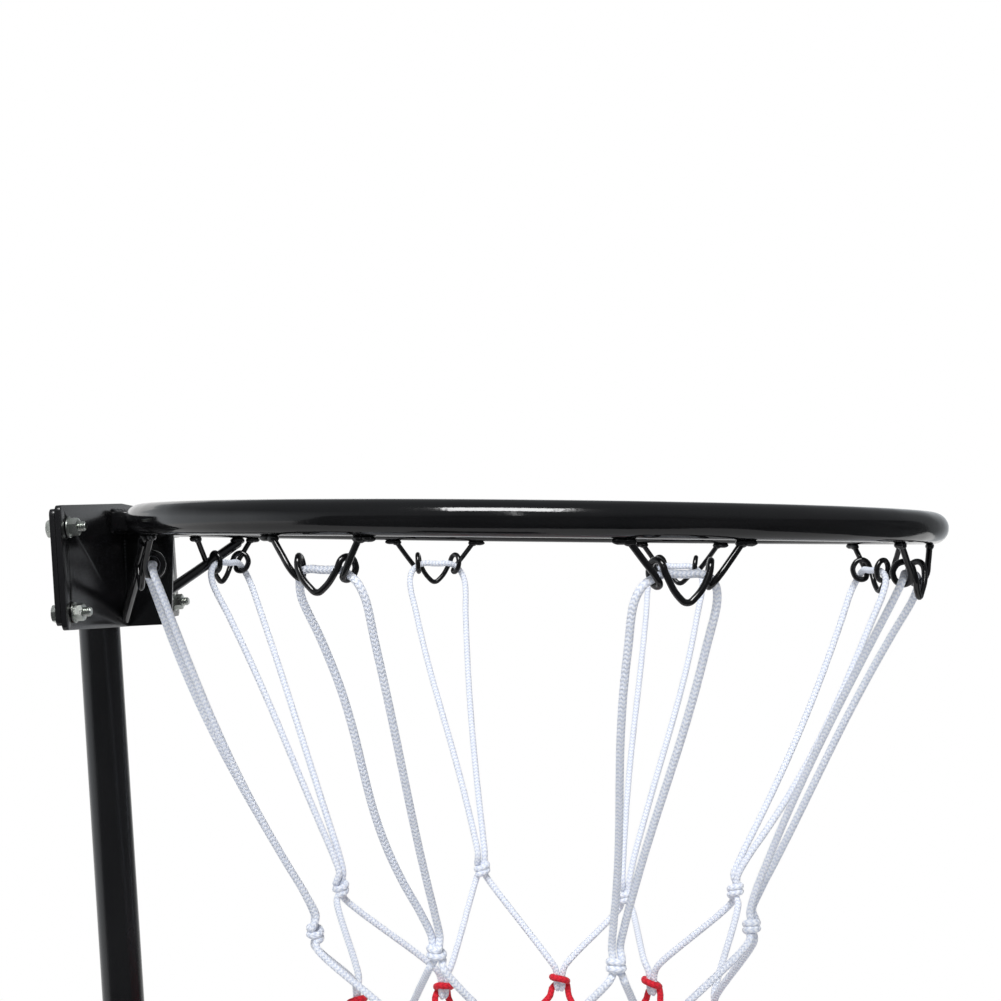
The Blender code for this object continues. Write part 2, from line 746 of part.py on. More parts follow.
def make_post(base, mid, top):
    low = tube(LOW_TUBE, TUBE_WALL, SOCKET_FLOOR + TOUCH, LOW_TOP)
    node("low_tube", cross_hole(low, STRUT_BOLT, STRUT_TOP_Z, 2 * LOW_TUBE), SATIN_BLACK, base)
    middle = tube(MID_TUBE, TUBE_WALL, MID_BOTTOM, MID_TOP)
    node("mid_tube", cross_hole(middle, RIVET, RIVET_Z, 2 * MID_TUBE), SATIN_BLACK, mid)
    rivet = moved(rod(RIVET, MID_TUBE - 4 * TOUCH), (0, 0, RIVET_Z), math.pi / 2, "Y")
    node("mid_stop_rivet", rivet, ZINC, mid)
    node("top_tube", tube(TOP_TUBE, TUBE_WALL, TOP_BOTTOM, TOP_TOP), SATIN_BLACK, top)
    mid_bush = foot_bush(LOW_TUBE - 2 * TUBE_WALL - 2 * SLIDE, MID_TUBE, TUBE_WALL)
    node("mid_foot_bush", mid_bush, GREY_PLASTIC, mid, (0, 0, MID_BOTTOM))
    top_bush = foot_bush(MID_TUBE - 2 * TUBE_WALL - 2 * SLIDE, TOP_TUBE, TUBE_WALL)
    node("top_foot_bush", top_bush, GREY_PLASTIC, top, (0, 0, TOP_BOTTOM))
    node("top_end_cap", end_cap(), BLACK_PLASTIC, top, (0, 0, TOP_TOP))


# Base

def arch_cutter(side, grow):
    """The space of a wheel: round behind, open to the front, the side and below."""
    reach = WHEEL / 2 + WHEEL_ROOM + grow
    front = -TANK_FRONT - 0.05
    outline = [(front, -0.02), (AXLE_Y + reach, -0.02), (AXLE_Y + reach, AXLE_Z)]
    for i in range(1, 8):
        angle = math.pi / 2 * i / 7
        outline.append((AXLE_Y + reach * math.cos(angle), AXLE_Z + reach * math.sin(angle)))
    outline.append((front, AXLE_Z + reach))
    near, far = ARCH_INSIDE - grow, TANK_WIDTH
    ring = [[(side * x, y, z) for y, z in outline] for x in (near, far)]
    return loft(ring)


def tank_body(inset):
    """The tank's outside, or its cavity when inset by the wall."""
    middle = (TANK_REAR - TANK_FRONT) / 2
    half_y = (TANK_REAR + TANK_FRONT) / 2
    section = [
        (inset, 0.007), (0.003 + inset * 0.6, 0.002), (0.010, 0.0), (0.080, 0.004), (0.104, 0.009),
        (0.123, 0.018), (0.135 - inset * 0.5, 0.030), (TANK_HEIGHT - inset, 0.046)]
    rings = []
    for z, off in section:
        outline = rounded_rectangle(
            TANK_WIDTH / 2 - off - inset, half_y - off - inset, TANK_CORNER - off - inset, 4)
        rings.append([(x, y + middle, z) for x, y in outline])
    return loft(rings)


def grooves(grow):
    """Stiffening grooves across the tank's top."""
    radius = GROOVE_WIDTH / 2 + grow
    centre = TANK_HEIGHT + GROOVE_WIDTH / 2 - GROOVE_DEPTH
    cutters = []
    for i in range(GROOVE_COUNT):
        shape = turned([
            (0, GROOVE_LENGTH / 2 + radius), (radius * 0.7, GROOVE_LENGTH / 2 + radius * 0.7),
            (radius, GROOVE_LENGTH / 2), (radius, -GROOVE_LENGTH / 2),
            (radius * 0.7, -GROOVE_LENGTH / 2 - radius * 0.7), (0, -GROOVE_LENGTH / 2 - radius)],
            ROD_SIDES)
        place = (0, GROOVE_FIRST + i * GROOVE_PITCH, centre)
        cutters.append(moved(shape, place, math.pi / 2, "Y"))
    return cutters


def foot_bolt_places():
    return [(side * STRUT_FOOT_X, STRUT_FOOT_Y) for side in (-1, 1)]


def tank_cavity(inset):
    """The room for water: the inside, less the columns and tunnels that bolts, post and axle need."""
    tall = 2 * TANK_HEIGHT
    inside = tank_body(inset)
    kept = [arch_cutter(side, inset) for side in (-1, 1)] + grooves(inset)
    kept.append(rod(LOW_TUBE + 2 * (TOUCH + SOCKET_WALL + inset - TANK_WALL), tall, TUBE_SIDES))
    for x, y in foot_bolt_places():
        kept.append(moved(rod(STRUT_BOLT + 2 * (COLUMN_WALL + inset - TANK_WALL), tall), (x, y, 0)))
    tunnel = rod(AXLE + 2 * (TOUCH + COLUMN_WALL + inset - TANK_WALL), 2 * TANK_WIDTH)
    kept.append(moved(tunnel, (0, AXLE_Y, AXLE_Z), math.pi / 2, "Y"))
    kept.append(moved(rod(WELL + 2 * inset, 2 * (WELL_DEPTH + inset), TUBE_SIDES),
                      (0, FILLER_Y, TANK_HEIGHT)))
    return cut(inside, *kept)


def filler_well():
    """The round channel in the tank's top that leaves the filler neck standing."""
    inner, outer = NECK_OUTSIDE / 2, WELL / 2
    floor, top = TANK_HEIGHT - WELL_DEPTH, TANK_HEIGHT + PAST
    return moved(turned([(inner, top), (outer, top), (outer, floor), (inner, floor)]), (0, FILLER_Y, 0))


def base_tank():
    holes = [arch_cutter(side, 0) for side in (-1, 1)] + grooves(0) + [filler_well()]
    tube_hole, sleeve_hole = LOW_TUBE / 2 + TOUCH, LOW_TUBE / 2 + SLEEVE_WALL + 2 * TOUCH
    step = TANK_HEIGHT - SLEEVE_DEPTH - TOUCH
    holes.append(turned([
        (0, SOCKET_FLOOR), (tube_hole, SOCKET_FLOOR), (tube_hole, step), (sleeve_hole, step),
        (sleeve_hole, TANK_HEIGHT + PAST), (0, TANK_HEIGHT + PAST)]))
    for x, y in foot_bolt_places():
        hole = rod(STRUT_BOLT + 2 * TOUCH, 2 * (FOOT_BOLT_DEPTH + PAST))
        holes.append(moved(hole, (x, y, TANK_HEIGHT)))
    tunnel = rod(AXLE + 2 * TOUCH, 2 * TANK_WIDTH)
    holes.append(moved(tunnel, (0, AXLE_Y, AXLE_Z), math.pi / 2, "Y"))
    mouth = moved(rod(NECK_BORE, 2 * (WELL_DEPTH + TANK_WALL + PAST), TUBE_SIDES),
                  (0, FILLER_Y, TANK_HEIGHT))
    return cut(cut(tank_body(0), *holes), tank_cavity(TANK_WALL), mouth)


def post_sleeve():
    """The moulded ring between post and tank: its flange lies on the tank, its spigot goes into it."""
    bore = LOW_TUBE / 2 + TOUCH
    spigot = bore + SLEEVE_WALL
    rim = TANK_HEIGHT + SLEEVE_RISE
    flange = TANK_HEIGHT + TOUCH + SLEEVE_FLANGE_THICK
    return turned([
        (bore, rim), (spigot, rim), (spigot + SLEEVE_WALL / 2, rim - SLEEVE_WALL),
        (spigot + SLEEVE_WALL, flange + SLEEVE_WALL), (spigot + 2 * SLEEVE_WALL, flange),
        (bore + SLEEVE_FLANGE, flange - SLEEVE_WALL / 2), (bore + SLEEVE_FLANGE, TANK_HEIGHT + TOUCH),
        (spigot, TANK_HEIGHT + TOUCH), (spigot, TANK_HEIGHT - SLEEVE_DEPTH),
        (bore, TANK_HEIGHT - SLEEVE_DEPTH)])


def filler_cap():
    """Ribbed screw cap on Z, the neck's top at z = 0."""
    inner = NECK_OUTSIDE / 2 + TOUCH
    under = SEAL_THICK + 2 * TOUCH
    steps = 2 * CAP_RIBS
    outline = []
    for i in range(steps):
        angle = math.tau * i / steps
        radius = inner + CAP_WALL + (CAP_RIB if i % 2 else 0)
        outline.append((radius * math.cos(angle), radius * math.sin(angle)))
    rings = []
    top = under + CAP_WALL
    for z, share in ((-CAP_SKIRT, 1.0), (top - CAP_WALL * 0.4, 1.0), (top, 0.95)):
        rings.append([(x * share, y * share, z) for x, y in outline])
    hollow = turned([(0, under), (inner, under), (inner, -2 * CAP_SKIRT), (0, -2 * CAP_SKIRT)])
    bar = prism(rounded_rectangle(inner * 0.8, CAP_BAR / 2, CAP_BAR * 0.4, 2), under, top + CAP_BAR)
    return cut(fused(loft(rings), bar), hollow)


def wheel():
    """Wheel on Z: tread, recessed sides and a hub with its bore."""
    radius, half, bore = WHEEL / 2, WHEEL_WIDTH / 2, AXLE / 2 + SLIDE
    hub, web, rim = bore + 0.008, WHEEL_WIDTH * 0.16, radius - 0.013
    side = [
        (bore, half), (hub, half), (hub, web), (rim, web), (rim + 0.002, half - 0.002),
        (radius - 0.006, half - 0.001), (radius, half - 0.009)]
    mirrored = [(r, -z) for r, z in reversed(side)]
    return turned(side + mirrored, TUBE_SIDES)


def axle_cap():
    """Domed push cap over the axle's end, its open side down on Z."""
    inner = AXLE / 2 + TOUCH
    top = AXLE_CAP_DEPTH + AXLE_CAP_DOME
    return turned([
        (0, top), (inner + AXLE_CAP_DOME * 0.7, top * 0.9), (AXLE_CAP / 2, AXLE_CAP_DOME),
        (AXLE_CAP / 2, 0), (inner, 0), (inner, AXLE_CAP_DEPTH), (0, AXLE_CAP_DEPTH)], ROD_SIDES)


def strut(side):
    """Round tube with flattened ends, from the post's cross bolt down to the tank's top."""
    x_top = side * (LOW_TUBE / 2 + TOUCH + STRUT_FLAT / 2)
    z_foot = TANK_HEIGHT + TOUCH + STRUT_FLAT / 2
    lap = STRUT_FLAT_WIDTH * 0.55
    top = Vector((x_top, 0, STRUT_TOP_Z))
    foot = Vector((side * STRUT_FOOT_X, STRUT_FOOT_Y, z_foot))
    heel = foot - Vector((0, lap, 0))
    slope = (heel - top).normalized()
    level = Vector((0, slope.y, slope.z)).normalized()
    flat, full = STRUT_FLAT / 2, STRUT_TUBE / 2
    wide = STRUT_FLAT_WIDTH / 2
    shoulder = top + level * lap
    run = heel - shoulder
    stations = [
        (top - level * lap, level, flat, wide), (shoulder, level, flat, wide),
        (shoulder + run * 0.12, slope, full, full), (shoulder + run * 0.86, slope, full, full),
        (heel, Vector((0, 1, -0.35)), wide, flat), (foot + Vector((0, lap, 0)), Vector((0, 1, 0)), wide, flat)]
    rings = []
    for centre, along, half_side, half_up in stations:
        along = along.normalized()
        across = (Vector((1, 0, 0)) - along * along.x).normalized()
        up = across.cross(along).normalized()
        rings.append([
            centre + across * half_side * math.cos(a) + up * half_up * math.sin(a)
            for a in (math.tau * (i + 0.5) / 12 for i in range(12))])
    body = loft(rings)
    top_hole = moved(rod(STRUT_BOLT + 2 * TOUCH, 0.05), top, math.pi / 2, "Y")
    foot_hole = moved(rod(STRUT_BOLT + 2 * TOUCH, 0.03), foot)
    return cut(body, top_hole, foot_hole)


def make_base(base, seal_body, cap_body, wheels):
    node("base_tank", base_tank(), BLACK_PLASTIC, base)
    node("post_sleeve", post_sleeve(), GREY_PLASTIC, base)
    node("water_fill", tank_cavity(TANK_WALL + TOUCH), WATER, base)
    axle_length = 2 * (WHEEL_X + WHEEL_WIDTH / 2 + WHEEL_GAP)
    axle = moved(rod(AXLE, axle_length), (0, AXLE_Y, AXLE_Z), math.pi / 2, "Y")
    node("wheel_axle", axle, ZINC, base)
    wheel_mesh = wheel()
    cap_mesh = axle_cap()
    for side, label in ((-1, "left"), (1, "right")):
        node(f"wheel_{label}", wheel_mesh, BLACK_PLASTIC, wheels[label], (0, 0, 0), (0, math.pi / 2, 0))
        cap_x = side * (axle_length / 2 - AXLE_CAP_DEPTH + TOUCH)
        node(f"axle_cap_{label}", cap_mesh, GREY_PLASTIC, base, (cap_x, AXLE_Y, AXLE_Z),
             (0, side * math.pi / 2, 0))
        node(f"strut_{label}", strut(side), SATIN_BLACK, base)
    seal = turned([
        (NECK_OUTSIDE / 2 - TOUCH, SEAL_THICK), (NECK_OUTSIDE / 2 - TOUCH, 0),
        (NECK_BORE / 2, 0), (NECK_BORE / 2, SEAL_THICK)])
    node("filler_seal", seal, RUBBER, seal_body, (0, 0, TOUCH))
    node("filler_cap", filler_cap(), BLACK_PLASTIC, cap_body)

    stack = LOW_TUBE / 2 + 2 * TOUCH + STRUT_FLAT
    across = hex_bolt(STRUT_BOLT, 2 * stack + STRUT_BOLT + BOLT_PROUD)
    node("strut_cross_bolt", across, ZINC, base, (-stack, 0, STRUT_TOP_Z), (0, -math.pi / 2, 0))
    node("strut_cross_nut", hex_nut(STRUT_BOLT), ZINC, base, (stack, 0, STRUT_TOP_Z),
         (0, math.pi / 2, 0))
    foot_bolt = hex_bolt(STRUT_BOLT, FOOT_BOLT_DEPTH)
    for side, label in ((-1, "left"), (1, "right")):
        place = (side * STRUT_FOOT_X, STRUT_FOOT_Y, TANK_HEIGHT + 2 * TOUCH + STRUT_FLAT)
        node(f"strut_foot_bolt_{label}", foot_bolt, ZINC, base, place)


def main():
    clear_scene()
    base = empty("base_body")
    mid = empty("mid_body", base)
    top = empty("top_body", mid)
    low_knob = empty("low_knob_body", base)
    mid_knob = empty("mid_knob_body", mid)
    seal_body = empty("seal_body", base, (0, FILLER_Y, TANK_HEIGHT))
    cap_body = empty("cap_body", seal_body)
    wheels = {
        label: empty(f"wheel_body_{label}", base, (side * WHEEL_X, AXLE_Y, AXLE_Z))
        for side, label in ((-1, "left"), (1, "right"))
    }
    make_base(base, seal_body, cap_body, wheels)
    make_post(base, mid, top)
    make_clamp("low", base, low_knob, LOW_TOP, LOW_TUBE, MID_TUBE)
    make_clamp("mid", mid, mid_knob, MID_TOP, MID_TUBE, TOP_TUBE)
    make_hoop(top)


main()
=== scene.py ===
from math import atan2, cos, pi, radians, sin, sqrt, tan, tau

import bmesh
import bpy
from mathutils import Matrix, Vector


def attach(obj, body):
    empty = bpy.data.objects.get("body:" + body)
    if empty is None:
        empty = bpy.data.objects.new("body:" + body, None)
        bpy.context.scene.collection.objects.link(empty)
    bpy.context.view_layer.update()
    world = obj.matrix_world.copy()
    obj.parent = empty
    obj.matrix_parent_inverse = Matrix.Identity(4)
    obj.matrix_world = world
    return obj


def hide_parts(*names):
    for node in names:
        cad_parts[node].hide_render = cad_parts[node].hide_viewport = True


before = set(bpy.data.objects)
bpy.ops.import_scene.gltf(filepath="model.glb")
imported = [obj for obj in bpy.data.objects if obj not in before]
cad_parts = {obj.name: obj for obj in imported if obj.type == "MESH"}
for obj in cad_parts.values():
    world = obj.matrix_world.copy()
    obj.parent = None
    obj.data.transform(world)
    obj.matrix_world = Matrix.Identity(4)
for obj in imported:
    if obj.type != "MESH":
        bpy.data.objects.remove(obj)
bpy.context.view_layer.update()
print("frame loaded with", len(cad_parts), "nodes")


# selection and edit mode

def dropSelection():
    if bpy.context.mode != "OBJECT":
        bpy.ops.object.mode_set(mode="OBJECT")
    bpy.ops.object.select_all(action="DESELECT")


def pick(*pieces):
    dropSelection()
    for piece in pieces:
        piece.select_set(True)
    bpy.context.view_layer.objects.active = pieces[0]


def started(add, **settings):
    # the object that a call of bpy.ops adds
    dropSelection()
    add(**settings)
    return bpy.context.object


def startEdit(piece, kind="VERT"):
    pick(piece)
    bpy.ops.object.mode_set(mode="EDIT")
    bpy.ops.mesh.select_mode(type=kind)


def selectWhere(piece, test, kind="VERT"):
    # leaves edit mode on, with exactly what passes the test selected
    startEdit(piece, kind)
    bpy.ops.mesh.select_all(action="DESELECT")
    mesh = bmesh.from_edit_mesh(piece.data)
    for part in {"VERT": mesh.verts, "EDGE": mesh.edges, "FACE": mesh.faces}[kind]:
        if test(part):
            part.select_set(True)
    mesh.select_flush_mode()
    bmesh.update_edit_mesh(piece.data)


def shift(piece, move, test):
    selectWhere(piece, test)
    bpy.ops.transform.translate(value=move)


def closeUp(piece):
    # merged, closed and with its normals outward
    startEdit(piece)
    bpy.ops.mesh.select_all(action="SELECT")
    bpy.ops.mesh.remove_doubles(threshold=0.00001)
    bpy.ops.mesh.select_all(action="DESELECT")
    bpy.ops.mesh.select_non_manifold(extend=False, use_wire=False, use_multi_face=False,
                                     use_non_contiguous=False, use_verts=False)
    bpy.ops.mesh.edge_face_add()
    bpy.ops.mesh.select_all(action="SELECT")
    bpy.ops.mesh.normals_make_consistent(inside=False)
    bpy.ops.object.mode_set(mode="OBJECT")
    return piece


def modify(piece, kind, **settings):
    pick(piece)
    modifier = piece.modifiers.new(kind.title(), kind)
    for key, value in settings.items():
        setattr(modifier, key, value)
    bpy.ops.object.modifier_apply(modifier=modifier.name)
    return piece


def roundEdges(piece, width, steps=2, angle=35):
    return modify(piece, "BEVEL", width=width, segments=steps, limit_method="ANGLE",
                  angle_limit=radians(angle))


def cutAway(piece, *tools, way="DIFFERENCE"):
    for tool in tools:
        modify(piece, "BOOLEAN", operation=way, solver="EXACT", object=tool)
        bpy.data.objects.remove(tool)
    return piece


def drill(piece, radius, low, high, matrix=Matrix(), sides=32, chamfer=0.0004):
    return cutAway(piece, put(rodShape(radius, low, high, sides, chamfer), matrix))


def joined(*pieces):
    pick(*pieces)
    bpy.ops.object.join()
    return pieces[0]


def at(*place):
    return Matrix.Translation(place)


def spin(angle, axis="Z"):
    return Matrix.Rotation(angle, 4, axis)


def turnTo(axis, place=(0, 0, 0)):
    # from +Z to a direction, moved to a place
    return at(*place) @ Vector(axis).to_track_quat("Z", "Y").to_matrix().to_4x4()


def put(piece, matrix=Matrix()):
    # sets a piece in its place and applies it, so the object sits at the origin unturned
    pick(piece)
    piece.matrix_world = matrix @ piece.matrix_world
    bpy.ops.object.transform_apply(location=True, rotation=True, scale=True)
    return piece


def around(count, make, start=0.0, radius=None):
    # pieces evenly round Z: each turned, or moved out by the radius and not turned
    pieces = []
    for number in range(count):
        angle = tau * (number + start) / count
        out = at(radius * cos(angle), radius * sin(angle), 0) if radius else spin(angle)
        pieces.append(put(make(), out))
    return pieces


def dress(piece, name, body, node, coat, smooth=35):
    # names, smooths and paints a piece that stands for a node of the frame
    piece.name = piece.data.name = name
    pick(piece)
    if smooth:
        bpy.ops.object.shade_smooth_by_angle(angle=radians(smooth))
    piece.data.materials.clear()
    piece.data.materials.append(coats[coat])
    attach(piece, body)
    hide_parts(node)


# shapes that several pieces start from

def mm(*rows):
    # rows of millimetres, in metres
    return [tuple(number / 1000 for number in row) for row in rows]


def turnedShape(profile, sides=48, hollow=False):
    # a circle grown ring by ring along Z, from (radius, height) to the next
    radius, height = profile[0]
    piece = started(bpy.ops.mesh.primitive_circle_add, vertices=sides, radius=radius,
                    fill_type="NOTHING", location=(0, 0, height), enter_editmode=True)
    for nextRadius, nextHeight in profile[1:] + ([profile[0]] if hollow else []):
        bpy.ops.mesh.extrude_edges_move(
            TRANSFORM_OT_translate={"value": (0, 0, nextHeight - height)})
        grow = nextRadius / radius
        bpy.ops.transform.resize(value=(grow, grow, 1), center_override=(0, 0, nextHeight))
        radius, height = nextRadius, nextHeight
    return closeUp(put(piece))


def rodShape(radius, low, high, sides=32, chamfer=0.0004):
    return turnedShape([(radius - chamfer, low), (radius, low + chamfer),
                        (radius, high - chamfer), (radius - chamfer, high)], sides)


def boxShape(size, place=(0, 0, 0), edge=0.001, steps=2):
    piece = started(bpy.ops.mesh.primitive_cube_add, size=1, location=place)
    piece.scale = size
    return roundEdges(put(piece), edge, steps)


def sweptShape(curve, radius, roundness):
    # the curve with a round section, made a mesh
    curve.data.bevel_depth, curve.data.bevel_resolution = radius, roundness
    curve.data.use_fill_caps = True
    bpy.ops.object.convert(target="MESH")
    return closeUp(put(bpy.context.object))


def wireShape(points, radius, roundness, detail):
    # a bent wire: a smooth curve through the points
    curve = started(bpy.ops.curve.primitive_bezier_curve_add)
    spline = curve.data.splines[0]
    spline.bezier_points.add(len(points) - len(spline.bezier_points))
    for knot, point in zip(spline.bezier_points, points):
        knot.co = point
        knot.handle_left_type = knot.handle_right_type = "AUTO"
        knot.radius = 1
    curve.data.resolution_u = detail
    return sweptShape(curve, radius, roundness)


weld = {"step": 0.0006, "ends": (0.55, 0.85), "ripple": 0.13, "beat": 1.9}


def weldBead(points, radius):
    # a weld: a thin ridge with ripples across it
    curve = started(bpy.ops.curve.primitive_bezier_curve_add)
    curve.data.splines.clear()
    path = [Vector(point) for point in points]
    dense = []
    for start, end in zip(path, path[1:]):
        steps = max(2, int((end - start).length / weld["step"]))
        dense += [start.lerp(end, step / steps) for step in range(steps)]
    dense.append(path[-1])
    spline = curve.data.splines.new("POLY")
    spline.points.add(len(dense) - 1)
    for number, (knot, point) in enumerate(zip(spline.points, dense)):
        edge = min(number, len(dense) - 1 - number)
        knot.co = (*point, 1)
        knot.radius = 1 + weld["ripple"] * sin(number * weld["beat"])
        if edge < len(weld["ends"]):
            knot.radius = weld["ends"][edge]
    return sweptShape(curve, radius, 2)


def weldLump(place, size, turn=0.0, seed=1):
    # a small drop of weld where a wire ends on a tube
    piece = started(bpy.ops.mesh.primitive_uv_sphere_add, segments=16, ring_count=10, radius=0.5)
    piece.scale = size
    startEdit(put(piece))
    bpy.ops.mesh.select_all(action="SELECT")
    bpy.ops.transform.vertex_random(offset=0.0003, uniform=0.5, normal=0.5, seed=seed)
    bpy.ops.mesh.vertices_smooth(factor=0.5, repeat=2)
    return put(piece, at(*place) @ spin(turn))


# materials

def feed(tree, node, values):
    # joins a node's inputs to sockets, or sets them
    for socket, value in values.items():
        if isinstance(value, bpy.types.NodeSocket):
            tree.links.new(value, node.inputs[socket])
        else:
            node.inputs[socket].default_value = value
    return node


def link(tree, kind, values, **settings):
    node = tree.nodes.new("ShaderNode" + kind)
    for key, value in settings.items():
        setattr(node, key, value)
    return feed(tree, node, values)


def noise(tree, place, scale, detail=2.0, rough=0.5):
    return link(tree, "TexNoise", {"Vector": place, "Scale": scale, "Detail": detail,
                                   "Roughness": rough}).outputs["Fac"]


def spread(tree, value, low, high, start=0.3, end=0.7):
    return link(tree, "MapRange", {"Value": value, "From Min": start, "From Max": end,
                                   "To Min": low, "To Max": high}).outputs["Result"]


def blendColours(tree, share, *colours):
    # 6 and 7 are the mix node's two colours, and 2 is its blended one
    first, second = (colour if isinstance(colour, bpy.types.NodeSocket) else (*colour, 1)
                     for colour in colours)
    return link(tree, "Mix", {0: share, 6: first, 7: second}, data_type="RGBA").outputs[2]


def calc(tree, operation, *values):
    return link(tree, "Math", dict(enumerate(values)), operation=operation).outputs["Value"]


def emboss(tree, shader, height, strength, distance):
    # relief, over any that the shader has already
    bump = link(tree, "Bump", {"Height": height, "Strength": strength, "Distance": distance})
    normal = shader.inputs["Normal"]
    if normal.is_linked:
        tree.links.new(normal.links[0].from_socket, bump.inputs["Normal"])
    tree.links.new(bump.outputs["Normal"], normal)


def newMaterial(name):
    material = bpy.data.materials.new(name)
    material.use_nodes = True
    tree = material.node_tree
    place = tree.nodes.new("ShaderNodeTexCoord").outputs
    return material, tree, tree.nodes["Principled BSDF"], place


def surface(name, colour, shade, mottle, grain, rough, relief, deep, metal=0, detail=2.0, wave=0):
    # a coat, metal or plastic with mottled colour, uneven gloss and a fine grain
    material, tree, shader, place = newMaterial(name)
    mottling = noise(tree, place["Object"], mottle, 4.0, 0.6)
    feed(tree, shader, {
        "Base Color": blendColours(tree, spread(tree, mottling, 0, 1), colour, shade),
        "Roughness": spread(tree, mottling, *rough), "Metallic": metal})
    emboss(tree, shader, noise(tree, place["Object"], grain, detail), relief, deep)
    if wave:      # slow waves, which pull reflections into streaks
        emboss(tree, shader, noise(tree, place["Object"], wave, 1.0), 0.55, 0.001)
    return material


strands = {"columns": 5, "pitch": 0.0024, "sharp": 0.6}


def braid(name, colour, shade, groove, sheen):
    # UV: u once round the cord, v along it in metres; strands cross in chevrons
    material, tree, shader, place = newMaterial(name)
    lie = link(tree, "SeparateXYZ", {"Vector": place["UV"]}).outputs
    columns = calc(tree, "MULTIPLY", lie["X"], strands["columns"])
    slope = calc(tree, "ABSOLUTE", calc(tree, "SUBTRACT", calc(tree, "FRACT", columns), 0.5))
    steps = calc(tree, "ADD", slope, calc(tree, "DIVIDE", lie["Y"], strands["pitch"]))
    strand = calc(tree, "COSINE", calc(tree, "MULTIPLY", steps, tau))
    strand = calc(tree, "POWER", calc(tree, "MULTIPLY_ADD", strand, 0.5, 0.5), strands["sharp"])
    # each column sinks towards its edges, so the seams between columns also get the painted groove
    # shade below
    middle = calc(tree, "COSINE", calc(tree, "MULTIPLY", slope, tau * 2))
    relief = calc(tree, "MULTIPLY", strand, calc(tree, "MULTIPLY_ADD", middle, -0.12, 0.88))
    soil = noise(tree, place["Object"], 55, 3.0)
    yarn = blendColours(tree, spread(tree, soil, 0, 1), colour, shade)
    # painted shade: the grooves between strands and the seams between columns take the darker
    # groove colour, by the strands' relief
    feed(tree, shader, {"Base Color": blendColours(tree, relief, groove, yarn),
                        "Roughness": 0.72, "Specular IOR Level": 0.3,
                        "Sheen Weight": sheen, "Sheen Roughness": 0.5})
    fibres = noise(tree, place["Object"], 2600, 1.0)
    emboss(tree, shader, calc(tree, "MULTIPLY_ADD", fibres, 0.25, relief), 0.55, 0.00045)
    return material


def water(name, deep, light):
    material, tree, shader, place = newMaterial(name)
    ripple = noise(tree, place["Object"], 18)
    feed(tree, shader, {"Base Color": blendColours(tree, ripple, deep, light), "Roughness": 0.08})
    emboss(tree, shader, ripple, 0.2, 0.002)
    return material


coats = {name: make(name, *finish) for make, finishes in (
    # colour, shade, scales of mottle and grain, roughness, relief and its depth, then
    # whether it is metal, the grain's detail and the waves' scale
    (surface, {
        "glossBlackCoat": ((0.0036, 0.0037, 0.0043), (0.0056, 0.0056, 0.0062), 22, 420,
                           (0.085, 0.13), 0.1, 0.0003, 0, 2.0, 34),
        "satinBlackCoat": ((0.0044, 0.0046, 0.0055), (0.0066, 0.0067, 0.0076), 14, 900,
                           (0.2, 0.28), 0.14, 0.0003),
        "zincPlating": ((0.6, 0.62, 0.58), (0.46, 0.49, 0.46), 260, 1500,
                        (0.22, 0.38), 0.15, 0.0002, 1),
        "blackMouldedPlastic": ((0.0165, 0.0165, 0.0175), (0.023, 0.023, 0.024), 9, 1100,
                                (0.42, 0.56), 0.35, 0.0006, 0, 3.0),
        "blackKnobPlastic": ((0.014, 0.014, 0.015), (0.02, 0.02, 0.021), 40, 1600,
                             (0.3, 0.42), 0.25, 0.0003),
        "greyMouldedPlastic": ((0.085, 0.086, 0.09), (0.11, 0.11, 0.114), 30, 1300,
                               (0.42, 0.58), 0.25, 0.0004),
        "sealRubber": ((0.022, 0.022, 0.022), (0.034, 0.033, 0.032), 60, 900,
                       (0.62, 0.8), 0.3, 0.0004)}),
    # colour, shade, the painted shade of the grooves between strands, and sheen
    (braid, {
        "whiteBraid": ((0.92, 0.94, 0.98), (0.86, 0.89, 0.96), (0.58, 0.64, 0.78), 0.15),
        "redBraid": ((0.8, 0.014, 0.036), (0.72, 0.01, 0.03), (0.5, 0.006, 0.018), 0.12),
        "blueBraid": ((0.032, 0.075, 0.44), (0.024, 0.06, 0.36), (0.014, 0.034, 0.22), 0.12)}),
    (water, {"tankWater": ((0.3, 0.44, 0.48), (0.38, 0.52, 0.55))}),
) for name, finish in finishes.items()}
print("materials made")


# hoop: the ring, its tongue and braces

hoop = {
    "plateFace": (0, -0.0191, 2.15),
    "droop": 4.8,               # degrees that the ring hangs to the front
    "reach": 0.256,             # from the plate's face to the ring's middle
    "ringRadius": 0.234,
    "tubeRadius": 0.009,
    "tongue": (0.056, 0.0142, 0.012),
    "web": {"thick": 0.003, "front": -0.0322, "under": -0.065, "slope": 3.6, "sink": 0.0004},
    "braceRadius": 0.0034,
    "braceFoot": (0.005, -0.0042, -0.0596),
    "braceAngle": 26.5,
}
hoopFrame = at(*hoop["plateFace"]) @ spin(radians(hoop["droop"]), "X")
netFrame = hoopFrame @ at(0, -hoop["reach"], 0)


def makeRing():
    ring = started(bpy.ops.mesh.primitive_torus_add, major_radius=hoop["ringRadius"],
                   minor_radius=hoop["tubeRadius"], major_segments=240, minor_segments=36)
    # the closing weld of the bent tube, behind, under the tongue
    selectWhere(ring, lambda v: v.co.y > 0 and abs(v.co.x) < 0.004)
    bpy.ops.transform.shrink_fatten(value=0.0005)
    dress(put(ring, netFrame), "hoopRing", "top_mast", "rim_ring", "glossBlackCoat", 60)


